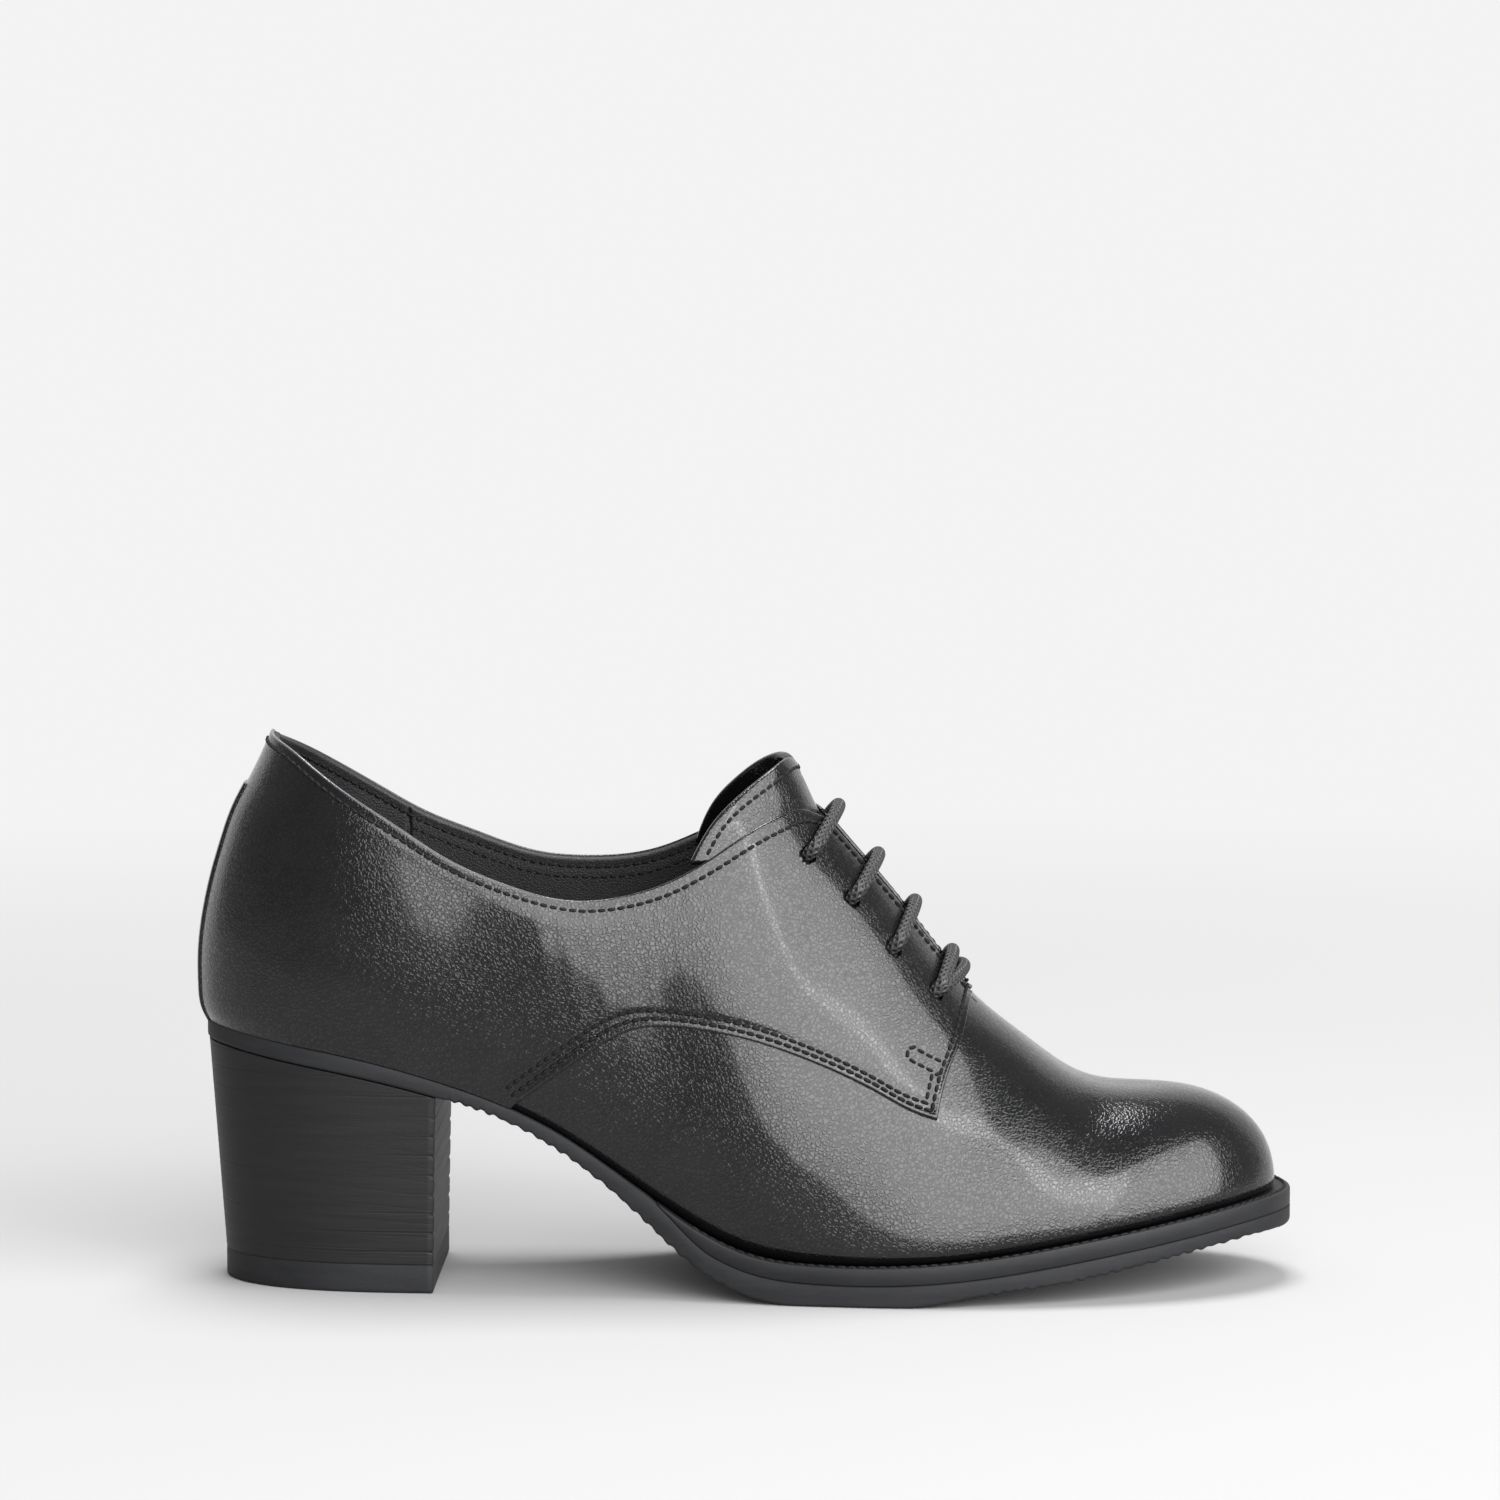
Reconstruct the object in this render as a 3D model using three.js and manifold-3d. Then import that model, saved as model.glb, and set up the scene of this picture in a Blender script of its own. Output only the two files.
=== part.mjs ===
// Heeled derby shoe for a right foot, in millimetres.
// +X points to the toe, +Y to the inner side of the foot, +Z up.
// The origin is the middle of the heel's rest face, on the floor.

import * as THREE from "three";
import * as BufferGeometryUtils from "three/addons/utils/BufferGeometryUtils.js";
import Module from "manifold-3d";

const wasm = await Module();
wasm.setup();

// Driving sizes of the form that the upper follows
const FORM_LENGTH = 243.5;
const FORM_BACK_X = -29;
const BALL_WIDTH = 81.1;
const INSTEP_DEPTH = 116;
const BALL_SEAT = 9.2;
const HEEL_RISE = 49.8;
const TOE_SPRING = 11.6;
const TUCK_HEIGHT = 0.14;

// Walls and overlays
const QUARTER_LIFT = 0.5;
const VAMP_DROP = 0.5;
const WALL_INSIDE = 1.8;
const BACKSTAY_LIFT = 0.7;
const BACKSTAY_WIDTH = 15;
const BACKSTAY_TOP = 112;
const FIT_GAP = 0.3;
const CUT_OVERLAP = 0.4;
const CUT_MARGIN = 20;
const CUT_TOP = 2 * INSTEP_DEPTH;
const WALL_DROP = 6;
const COLLAR_BACK_SLOPE = 0.75;
const COLLAR_RUN_OUT = 8;
const COLLAR_RUN_OUT_RISE = 2;

// Throat and eyelets. Starts and ends are shares of the form's length.
const THROAT_START = 0.5;
const THROAT_END_VAMP = 0.69;
const THROAT_END_QUARTERS = 0.722;
const THROAT_WIDTH_TOP = 13;
const THROAT_WIDTH_END = 8;
const THROAT_ARC_STEPS = 4;
const THROAT_CUT_UP = 12;
const THROAT_CUT_DOWN = 60;
const EYELET_WIDTH = 4.2;
const EYELET_CUT_LENGTH = 12;
const EYELET_SIDES = 12;

// Tongue
const TONGUE_THICKNESS = 1.6;
const TONGUE_GAP = 0.75;
const TONGUE_RISE = 1.6;
const TONGUE_FREE = 0.2;
const TONGUE_FREE_FROM = 0.6;
const TONGUE_FREE_TO = 0.9;
const TONGUE_BASE = 0.735;
const TONGUE_SIDE_TOP = 0.445;
const TONGUE_SIDE_BASE = 0.6;

// Laces
const LACE_WIDTH = 2.7;
const LACE_SIDES = 8;
const LACE_STEPS = 18;
const LACE_STOPS = [0, 0.25, 0.5, 0.7, 0.85, 0.96];
const LOWER_BAR_OVER = 0.708;

// Sole
const MIDSOLE_THICKNESS = 3.7;
const MIDSOLE_START = 0.415;
const MIDSOLE_FULL = 0.48;
const MIDSOLE_EDGE = 0.3;
const SOLE_DEPTH = 8.4;
const SOLE_LEDGE = 3;
const SOLE_BEVEL = 0.7;
const RIB_PITCH = 3.4;
const RIB_DEPTH = 0.6;
const INSOLE_THICKNESS = 2.2;
const INSOLE_WAIST_INSET = 0.5;

// Heel
const BREAST_X = 25.5;
const HEEL_INSET = 0.4;
const HEEL_BASE_BACK_X = -24;
const HEEL_BASE_FRONT_X = 24.8;
const HEEL_BASE_WIDTH = 54;
const LIFT_THICKNESS = 6.5;
const LIFT_BEVEL = 0.5;
const BREAST_GROOVES = 7;
const BREAST_PITCH = 4.4;
const BREAST_DEPTH = 0.7;
const BREAST_FIRST_Z = 9;

// Resolution
const STATIONS = 40;
const ROWS = 12;
const HEEL_STATIONS = 12;
const TOE_STATIONS = 6;
const MIDSOLE_STATIONS = 36;
const TONGUE_STEPS = 14;
const COLLAR_STEPS = 34;
const FRONT_STEPS = 10;
const LOWER_STEPS = 26;
const UNDER_STEPS = 44;

// Sections of the form, one row for each station along it.
// along: share of the form's length. outer, inner, swing: shares of the ball's width.
// rise, spring: shares of the heel's rise and the toe's spring. depth: share of the
// instep's depth. full, square: how flat the sides and how round the top are.
// tuck: how far the side turns in at the sole.
const SECTION_COLUMNS = [
  "along", "outer", "inner", "swing", "rise", "spring", "depth", "full", "square", "tuck",
];
const SECTIONS = [
  [0.000, 0.000, 0.000, 0.000, 1.000, 0.000, 0.664, 4.00, 2.00, 0.05],
  [0.020, 0.179, 0.173, 0.000, 0.988, 0.000, 0.669, 4.00, 2.00, 0.05],
  [0.080, 0.308, 0.302, 0.000, 0.938, 0.000, 0.691, 4.00, 2.00, 0.05],
  [0.145, 0.355, 0.348, 0.000, 0.884, 0.000, 0.714, 4.00, 2.00, 0.05],
  [0.235, 0.374, 0.351, 0.000, 0.769, 0.000, 0.763, 3.60, 2.00, 0.05],
  [0.340, 0.388, 0.339, 0.000, 0.548, 0.000, 0.849, 3.00, 2.00, 0.06],
  [0.440, 0.419, 0.364, 0.000, 0.217, 0.000, 0.978, 2.40, 2.00, 0.06],
  [0.510, 0.456, 0.401, 0.000, 0.044, 0.000, 1.001, 2.00, 2.00, 0.05],
  [0.570, 0.487, 0.438, 0.004, 0.002, 0.000, 0.868, 1.60, 2.00, 0.04],
  [0.640, 0.509, 0.472, 0.007, 0.000, 0.000, 0.686, 1.35, 2.00, 0.03],
  [0.715, 0.509, 0.491, 0.012, 0.000, 0.112, 0.473, 1.35, 2.05, 0.03],
  [0.765, 0.491, 0.485, 0.016, 0.000, 0.250, 0.370, 1.45, 2.20, 0.03],
  [0.815, 0.461, 0.467, 0.021, 0.000, 0.414, 0.280, 1.45, 2.50, 0.03],
  [0.865, 0.417, 0.432, 0.025, 0.000, 0.586, 0.242, 1.40, 3.00, 0.03],
  [0.930, 0.321, 0.345, 0.031, 0.000, 0.810, 0.216, 1.30, 3.60, 0.03],
  [0.975, 0.203, 0.228, 0.037, 0.000, 0.948, 0.195, 1.25, 3.90, 0.03],
  [1.000, 0.000, 0.000, 0.037, 0.000, 1.000, 0.185, 1.25, 4.00, 0.03],
];

// The heel curve: how far the back leans forward.
// rise: share of the instep's depth above the heel seat. lean: share of the form's length.
const HEEL_CURVE_COLUMNS = ["rise", "lean"];
const HEEL_CURVE = [
  [-0.026, 0.0140],
  [-0.009, 0.0099],
  [0.017, 0.0033],
  [0.060, 0.0000],
  [0.129, 0.0000],
  [0.216, 0.0053],
  [0.284, 0.0127],
  [0.353, 0.0226],
  [0.414, 0.0333],
  [0.466, 0.0464],
  [0.547, 0.0649],
  [0.612, 0.0760],
  [0.664, 0.0801],
];
const HEEL_CURVE_REACH = 0.39;
const TOE_ROLL = 0.111;
const TOE_ROLL_REACH = 0.287;

// Edges drawn on the side of the form.
// along: share of the form's length. rise: share of the form's own depth there.
const COLLAR_OUTER = [
  [0.070, 0.841],
  [0.093, 0.809],
  [0.143, 0.714],
  [0.192, 0.636],
  [0.240, 0.569],
  [0.287, 0.538],
  [0.343, 0.537],
  [0.400, 0.590],
  [0.459, 0.678],
  [0.516, 0.807],
  [0.545, 0.896],
  [0.559, 0.939],
  [0.573, 0.967],
  [0.584, 0.977],
];
const COLLAR_INNER = [
  [0.067, 0.830],
  [0.086, 0.785],
  [0.132, 0.715],
  [0.166, 0.659],
  [0.200, 0.613],
  [0.250, 0.577],
  [0.301, 0.558],
  [0.361, 0.586],
  [0.421, 0.647],
  [0.464, 0.711],
  [0.516, 0.810],
  [0.545, 0.896],
  [0.559, 0.939],
  [0.573, 0.967],
  [0.584, 0.977],
];
const QUARTER_FRONT = [
  [0.716, 1.150],
  [0.716, 1.000],
  [0.710, 0.902],
  [0.703, 0.780],
  [0.691, 0.626],
  [0.683, 0.475],
];
const QUARTER_LOWER = [
  [0.683, 0.475],
  [0.662, 0.458],
  [0.633, 0.454],
  [0.576, 0.443],
  [0.517, 0.411],
  [0.459, 0.378],
  [0.400, 0.310],
  [0.363, 0.215],
  [0.313, 0.063],
  [0.275, -0.090],
];
const TONGUE_TOP = [
  [0.546, 1.000],
  [0.536, 0.970],
  [0.524, 0.925],
  [0.500, 0.849],
  [0.478, 0.783],
  [0.457, 0.695],
];

// Lace rows, from the top down. along, rise: the eyelet's place, as on the edges above.
// over: share of the form's length at which the bar passes over the ridge.
const LACE_ROWS = [
  [0.564, 0.863, 0.584],
  [0.604, 0.870, 0.621],
  [0.642, 0.856, 0.655],
  [0.681, 0.870, 0.690],
];

// Sole sections. ledge: share of the widest ledge. deep: share of the sole's depth.
const SOLE_COLUMNS = ["along", "ledge", "deep"];
const SOLE_SECTIONS = [
  [0.00, 0.25, 0.524],
  [0.10, 0.15, 0.510],
  [0.20, 0.15, 0.480],
  [0.27, 0.15, 0.440],
  [0.34, 0.20, 0.520],
  [0.41, 0.45, 0.750],
  [0.46, 0.80, 1.080],
  [0.51, 1.00, 1.150],
  [0.60, 1.00, 1.160],
  [0.67, 1.00, 1.100],
  [0.71, 1.00, 1.010],
  [0.80, 1.00, 1.020],
  [0.86, 1.00, 0.980],
  [1.00, 1.00, 0.980],
];

// Colours and finishes, from the photograph
const FINISHES = {
  upper: { color: 0x17171a, roughness: 0.36, metalness: 0 },
  tongue: { color: 0x161618, roughness: 0.42, metalness: 0 },
  lace: { color: 0x101011, roughness: 0.55, metalness: 0 },
  insole: { color: 0x131313, roughness: 0.7, metalness: 0 },
  midsole: { color: 0x323337, roughness: 0.55, metalness: 0 },
  outsole: { color: 0x2e2f33, roughness: 0.62, metalness: 0 },
  heel_block: { color: 0x2a2a2d, roughness: 0.55, metalness: 0 },
  top_lift: { color: 0x262629, roughness: 0.7, metalness: 0 },
};

const UP = new THREE.Vector3(0, 0, 1);
const OUTER = -1;
const INNER = 1;

// A natural cubic spline through values at rising places
class Spline {
  constructor(places, values) {
    const count = places.length;
    this.places = places;
    this.values = values;
    this.bends = new Array(count).fill(0);
    const share = new Array(count).fill(0);
    const rest = new Array(count).fill(0);
    for (let i = 1; i < count - 1; i += 1) {
      const before = places[i] - places[i - 1];
      const after = places[i + 1] - places[i];
      const slopeBefore = (values[i] - values[i - 1]) / before;
      const slopeAfter = (values[i + 1] - values[i]) / after;
      const pivot = 2 * (before + after) - before * share[i - 1];
      share[i] = after / pivot;
      rest[i] = (6 * (slopeAfter - slopeBefore) - before * rest[i - 1]) / pivot;
    }
    for (let i = count - 2; i > 0; i -= 1) {
      this.bends[i] = rest[i] - share[i] * this.bends[i + 1];
    }
  }

  at(place) {
    const last = this.places.length - 1;
    const where = THREE.MathUtils.clamp(place, this.places[0], this.places[last]);
    let i = 0;
    while (i < last - 1 && where > this.places[i + 1]) {
      i += 1;
    }
    const step = this.places[i + 1] - this.places[i];
    const a = (this.places[i + 1] - where) / step;
    const b = 1 - a;
    const bend = (a ** 3 - a) * this.bends[i] + (b ** 3 - b) * this.bends[i + 1];
    return a * this.values[i] + b * this.values[i + 1] + (bend * step * step) / 6;
  }
}

// Stations are spaced by the cosine of an angle, which turns both round ends well.
const angleOf = (along) => Math.acos(THREE.MathUtils.clamp(1 - 2 * along, -1, 1)) / Math.PI;
const alongOf = (u) => (1 - Math.cos(Math.PI * u)) / 2;

function splines(names, rows, placeOf) {
  const places = rows.map((row) => placeOf(row[0]));
  const pairs = names.slice(1).map((name, k) => [name, new Spline(places, rows.map((row) => row[k + 1]))]);
  return Object.fromEntries(pairs);
}

const section = splines(SECTION_COLUMNS, SECTIONS, angleOf);
const heelCurve = splines(HEEL_CURVE_COLUMNS, HEEL_CURVE, (rise) => rise);
const sole = splines(SOLE_COLUMNS, SOLE_SECTIONS, angleOf);

const seatAt = (u) => BALL_SEAT + HEEL_RISE * section.rise.at(u) + TOE_SPRING * section.spring.at(u);
const depthAt = (u) => INSTEP_DEPTH * section.depth.at(u);

// Places at even steps between two values, with both ends
function evenStations(from, to, count) {
  return Array.from({ length: count + 1 }, (_, k) => from + ((to - from) * k) / count);
}

// The form's surface: u runs from heel to toe, h from the sole's edge to the ridge.
function form(u, h, side) {
  const x = FORM_BACK_X + FORM_LENGTH * alongOf(u);
  const toToe = FORM_BACK_X + FORM_LENGTH - x;
  const backFade = Math.max(1 - (x - FORM_BACK_X) / (HEEL_CURVE_REACH * FORM_LENGTH), 0) ** 2;
  const toeFade = Math.max(1 - toToe / (TOE_ROLL_REACH * FORM_LENGTH), 0) ** 2;
  const square = section.square.at(u);
  const rise = 1 - (1 - h) ** square;
  const roll = (1 - (1 - h) ** 2) ** 2;
  const rolledX = x - TOE_ROLL * FORM_LENGTH * roll * toeFade;
  const rolledU = angleOf((rolledX - FORM_BACK_X) / FORM_LENGTH);
  const z = seatAt(rolledU) + depthAt(rolledU) * rise;
  const lean = FORM_LENGTH * heelCurve.lean.at((z - seatAt(0)) / INSTEP_DEPTH);
  const half = BALL_WIDTH * (side < 0 ? section.outer.at(u) : section.inner.at(u));
  const profile = Math.max(1 - rise ** section.full.at(u), 0) ** (1 / square);
  const tuck = 1 - section.tuck.at(u) * Math.max(1 - h / TUCK_HEIGHT, 0) ** 2;
  const y = BALL_WIDTH * section.swing.at(u) + side * half * profile * tuck;
  return new THREE.Vector3(rolledX + lean * backFade, y, z);
}

// The form's outward direction
function outward(u, h, side) {
  const step = 0.002;
  const alongStep = form(Math.min(u + step, 1), h, side).sub(form(Math.max(u - step, 0), h, side));
  const upStep = form(u, Math.min(h + step, 1), side).sub(form(u, Math.max(h - step, 0), side));
  return alongStep.cross(upStep).multiplyScalar(-side).normalize();
}

function formOffset(u, h, side, offset) {
  return form(u, h, side).addScaledVector(outward(u, h, side), offset);
}

// The station at which the form's lower edge has a given x
function stationAtX(x) {
  let lean = 0;
  for (let k = 0; k < 5; k += 1) {
    const u = angleOf((x - lean - FORM_BACK_X) / FORM_LENGTH);
    lean = form(u, 0, OUTER).x - FORM_BACK_X - FORM_LENGTH * alongOf(u);
  }
  return angleOf((x - lean - FORM_BACK_X) / FORM_LENGTH);
}

// A point of an edge that is drawn on the form's side, in the plane of X and Z
function edgePoint([along, rise]) {
  const u = angleOf(along);
  return new THREE.Vector2(FORM_BACK_X + FORM_LENGTH * along, seatAt(u) + depthAt(u) * rise);
}

function edgeCurve(rows, steps) {
  return new THREE.SplineCurve(rows.map(edgePoint)).getPoints(steps);
}

// The height share h at which the form's section reaches a share of its depth
const shareAtRise = (u, rise) => 1 - (1 - Math.min(rise, 1)) ** (1 / section.square.at(u));

// A closed geometry from corner points and triangles, with its faces turned outwards
function closedGeometry(points, triangles) {
  const places = points.flatMap((p) => [p.x, p.y, p.z]);
  let geometry = new THREE.BufferGeometry();
  geometry.setAttribute("position", new THREE.Float32BufferAttribute(places, 3));
  geometry.setIndex(triangles.flat());
  geometry = BufferGeometryUtils.mergeVertices(geometry, 0.01);
  const place = geometry.getAttribute("position");
  const index = geometry.getIndex().array;
  const corner = (k) => new THREE.Vector3().fromBufferAttribute(place, k);
  const kept = [];
  let volume = 0;
  for (let i = 0; i < index.length; i += 3) {
    const [a, b, c] = [index[i], index[i + 1], index[i + 2]];
    if (a !== b && b !== c && c !== a) {
      kept.push([a, b, c]);
      volume += corner(a).dot(corner(b).cross(corner(c)));
    }
  }
  geometry.setIndex(kept.flatMap(([a, b, c]) => (volume > 0 ? [a, b, c] : [a, c, b])));
  return geometry;
}

function toSolid(source) {
  let geometry = source.clone();
  geometry.deleteAttribute("normal");
  geometry.deleteAttribute("uv");
  geometry = BufferGeometryUtils.mergeVertices(geometry, 0.001);
  const vertProperties = new Float32Array(geometry.getAttribute("position").array);
  const triVerts = new Uint32Array(geometry.getIndex().array);
  return new wasm.Manifold(new wasm.Mesh({ numProp: 3, vertProperties, triVerts }));
}

function toGeometry(solid) {
  const mesh = solid.getMesh();
  const geometry = new THREE.BufferGeometry();
  geometry.setAttribute("position", new THREE.Float32BufferAttribute(mesh.vertProperties, 3));
  geometry.setIndex(new THREE.Uint32BufferAttribute(mesh.triVerts, 1));
  return geometry;
}

function quad(triangles, a, b, c, d) {
  triangles.push([a, b, c], [a, c, d]);
}

// A closed body over the whole form, a set way outside or inside it.
// drop carries its open lower edge straight down before it is closed.
function formBody(offset, drop) {
  const rowsOnSide = ROWS + 2;
  const points = [];
  const place = (i, row, side) => {
    const u = i / STATIONS;
    const h = Math.max(row, 0) / ROWS;
    const point = formOffset(u, h, side, offset);
    if (i === 0 || i === STATIONS || row === ROWS) {
      const across = formOffset(u, h, -side, offset);
      point.add(across).multiplyScalar(0.5);
    }
    return row < 0 ? point.addScaledVector(UP, -drop) : point;
  };
  for (let i = 0; i <= STATIONS; i += 1) {
    for (const side of [OUTER, INNER]) {
      for (let k = 0; k < rowsOnSide; k += 1) {
        points.push(place(i, side === OUTER ? k - 1 : ROWS - k, side));
      }
    }
  }
  const ring = 2 * rowsOnSide;
  const triangles = [];
  for (let i = 0; i < STATIONS; i += 1) {
    for (let k = 0; k < ring; k += 1) {
      const next = (k + 1) % ring;
      quad(triangles, i * ring + k, i * ring + next, (i + 1) * ring + next, (i + 1) * ring + k);
    }
  }
  return toSolid(closedGeometry(points, triangles));
}

// A prism with a plane outline in the directions across and upright, between two depths
function prism(outline, origin, across, upright, from, to) {
  const settings = { depth: to - from, bevelEnabled: false };
  const geometry = new THREE.ExtrudeGeometry(new THREE.Shape(outline), settings);
  const through = across.clone().cross(upright);
  const matrix = new THREE.Matrix4().makeBasis(across, upright, through);
  matrix.setPosition(origin.clone().addScaledVector(through, from));
  geometry.applyMatrix4(matrix);
  return toSolid(geometry);
}

// A prism across the shoe whose outline lies in the plane of X and Z
function sidePrism(outline, fromY, toY) {
  const across = new THREE.Vector3(1, 0, 0);
  return prism(outline, new THREE.Vector3(), across, UP, -toY, -fromY);
}

// Everything above the collar line on one side
function collarCut(rows, side) {
  const line = edgeCurve(rows, COLLAR_STEPS);
  const farBack = FORM_BACK_X - CUT_MARGIN;
  const first = line[0];
  const last = line[line.length - 1];
  const outline = [
    new THREE.Vector2(farBack, first.y + COLLAR_BACK_SLOPE * (first.x - farBack)),
    ...line,
    new THREE.Vector2(last.x + COLLAR_RUN_OUT, last.y + COLLAR_RUN_OUT_RISE),
    new THREE.Vector2(last.x + COLLAR_RUN_OUT, CUT_TOP),
    new THREE.Vector2(farBack, CUT_TOP),
  ];
  if (side === OUTER) {
    return sidePrism(outline, -BALL_WIDTH, CUT_OVERLAP);
  }
  return sidePrism(outline, -CUT_OVERLAP, BALL_WIDTH);
}

// The side region that the quarters cover
function quarterRegion() {
  const front = edgeCurve(QUARTER_FRONT, FRONT_STEPS);
  const lower = edgeCurve(QUARTER_LOWER, LOWER_STEPS).slice(1);
  const outline = [
    ...front,
    ...lower,
    new THREE.Vector2(FORM_BACK_X - CUT_MARGIN, -CUT_MARGIN),
    new THREE.Vector2(FORM_BACK_X - CUT_MARGIN, CUT_TOP),
    new THREE.Vector2(front[0].x, CUT_TOP),
  ];
  return sidePrism(outline, -BALL_WIDTH, BALL_WIDTH);
}

// The strip over the back seam
function backstayRegion() {
  const half = BACKSTAY_WIDTH / 2;
  const outline = [
    new THREE.Vector2(FORM_BACK_X - CUT_MARGIN, 0),
    new THREE.Vector2(0, 0),
    new THREE.Vector2(0, BACKSTAY_TOP),
    new THREE.Vector2(FORM_BACK_X - CUT_MARGIN, BACKSTAY_TOP),
  ];
  return sidePrism(outline, -half, half);
}

// Everything under the line where the upper stands on the sole
function underCut() {
  const line = evenStations(0, 1, UNDER_STEPS).map((u) => {
    const x = form(u, 0, OUTER).x;
    return new THREE.Vector2(x, seatAt(stationAtX(x)));
  });
  const farBack = FORM_BACK_X - CUT_MARGIN;
  const farFront = FORM_BACK_X + FORM_LENGTH + CUT_MARGIN;
  const outline = [
    new THREE.Vector2(farBack, line[0].y),
    ...line,
    new THREE.Vector2(farFront, line[UNDER_STEPS].y),
    new THREE.Vector2(farFront, -CUT_MARGIN),
    new THREE.Vector2(farBack, -CUT_MARGIN),
  ];
  return sidePrism(outline, -BALL_WIDTH, BALL_WIDTH);
}

// The slot between the facings, from above the collar to a place along the ridge
function throatCut(endAlong) {
  const start = form(angleOf(THROAT_START), 1, OUTER);
  const end = form(angleOf(endAlong), 1, OUTER);
  const along = end.clone().sub(start).setY(0);
  const length = along.length();
  along.normalize();
  const across = new THREE.Vector3(0, 1, 0);
  const origin = start.clone().setY(end.y);
  const wide = THROAT_WIDTH_TOP / 2;
  const narrow = THROAT_WIDTH_END / 2;
  const outline = [new THREE.Vector2(-CUT_MARGIN, -wide)];
  for (let k = 0; k <= THROAT_ARC_STEPS; k += 1) {
    const turn = Math.PI * (k / THROAT_ARC_STEPS - 0.5);
    outline.push(new THREE.Vector2(length - narrow * (1 - Math.cos(turn)), narrow * Math.sin(turn)));
  }
  outline.push(new THREE.Vector2(-CUT_MARGIN, wide));
  return prism(outline, origin, along, across, -THROAT_CUT_DOWN, THROAT_CUT_UP);
}

// The place and direction of an eyelet
function eyelet([along, rise], side) {
  const u = angleOf(along);
  const h = shareAtRise(u, rise);
  return { u, h, point: form(u, h, side), out: outward(u, h, side) };
}

function eyeletCut(row, side) {
  const { point, out } = eyelet(row, side);
  const radius = EYELET_WIDTH / 2;
  const hole = new THREE.CylinderGeometry(radius, radius, EYELET_CUT_LENGTH, EYELET_SIDES);
  hole.applyQuaternion(new THREE.Quaternion().setFromUnitVectors(new THREE.Vector3(0, 1, 0), out));
  hole.translate(point.x, point.y, point.z);
  return toSolid(hole);
}

// One hollow wall, with the quarters as a step over the vamp
function upperGeometry() {
  const vamp = formBody(-VAMP_DROP, WALL_DROP).subtract(throatCut(THROAT_END_VAMP));
  const covered = formBody(QUARTER_LIFT, WALL_DROP).intersect(quarterRegion());
  const quarters = covered.subtract(throatCut(THROAT_END_QUARTERS));
  const backstay = formBody(QUARTER_LIFT + BACKSTAY_LIFT, WALL_DROP).intersect(backstayRegion());
  let wall = vamp.add(quarters).add(backstay);
  wall = wall.subtract(formBody(-WALL_INSIDE, 2 * WALL_DROP)).subtract(underCut());
  wall = wall.subtract(collarCut(COLLAR_OUTER, OUTER));
  wall = wall.subtract(collarCut(COLLAR_INNER, INNER));
  for (const row of LACE_ROWS) {
    wall = wall.subtract(eyeletCut(row, OUTER)).subtract(eyeletCut(row, INNER));
  }
  return toGeometry(wall);
}

// The tongue lies under the facings and rises free above them.
function tongueGeometry() {
  const rows = [...TONGUE_TOP].reverse();
  const heights = rows.map(([along, rise]) => shareAtRise(angleOf(along), rise));
  const topAt = new Spline(heights, rows.map(([along]) => angleOf(along)));
  const baseU = angleOf(TONGUE_BASE);
  const points = [];
  for (const under of [0, TONGUE_THICKNESS]) {
    for (let j = 0; j <= TONGUE_STEPS; j += 1) {
      const across = (2 * j) / TONGUE_STEPS - 1;
      const side = across < 0 ? OUTER : INNER;
      for (let i = 0; i <= TONGUE_STEPS; i += 1) {
        const t = i / TONGUE_STEPS;
        const edge = TONGUE_SIDE_TOP + (TONGUE_SIDE_BASE - TONGUE_SIDE_TOP) * t;
        const h = 1 - (1 - edge) * Math.abs(across);
        const topU = topAt.at(h);
        const u = topU + (baseU - topU) * t;
        const upper = THREE.MathUtils.smoothstep(h, TONGUE_FREE_FROM, TONGUE_FREE_TO);
        const free = Math.max(1 - t / TONGUE_FREE, 0) * upper;
        const depth = WALL_INSIDE + TONGUE_GAP - TONGUE_RISE * free;
        const point = formOffset(u, h, side, -depth - under);
        points.push(j * 2 === TONGUE_STEPS ? point.setY(BALL_WIDTH * section.swing.at(u)) : point);
      }
    }
  }
  const line = TONGUE_STEPS + 1;
  const sheet = line * (TONGUE_STEPS + 1);
  const triangles = [];
  for (let j = 0; j < TONGUE_STEPS; j += 1) {
    for (let i = 0; i < TONGUE_STEPS; i += 1) {
      const a = j * line + i;
      quad(triangles, a, a + 1, a + line + 1, a + line);
      quad(triangles, sheet + a, sheet + a + line, sheet + a + line + 1, sheet + a + 1);
    }
  }
  const rim = [];
  for (let i = 0; i < TONGUE_STEPS; i += 1) {
    rim.push(i);
  }
  for (let j = 0; j < TONGUE_STEPS; j += 1) {
    rim.push(j * line + TONGUE_STEPS);
  }
  for (let i = TONGUE_STEPS; i > 0; i -= 1) {
    rim.push(TONGUE_STEPS * line + i);
  }
  for (let j = TONGUE_STEPS; j > 0; j -= 1) {
    rim.push(j * line);
  }
  rim.forEach((a, k) => {
    const b = rim[(k + 1) % rim.length];
    quad(triangles, a, sheet + a, sheet + b, b);
  });
  return closedGeometry(points, triangles);
}

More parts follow.
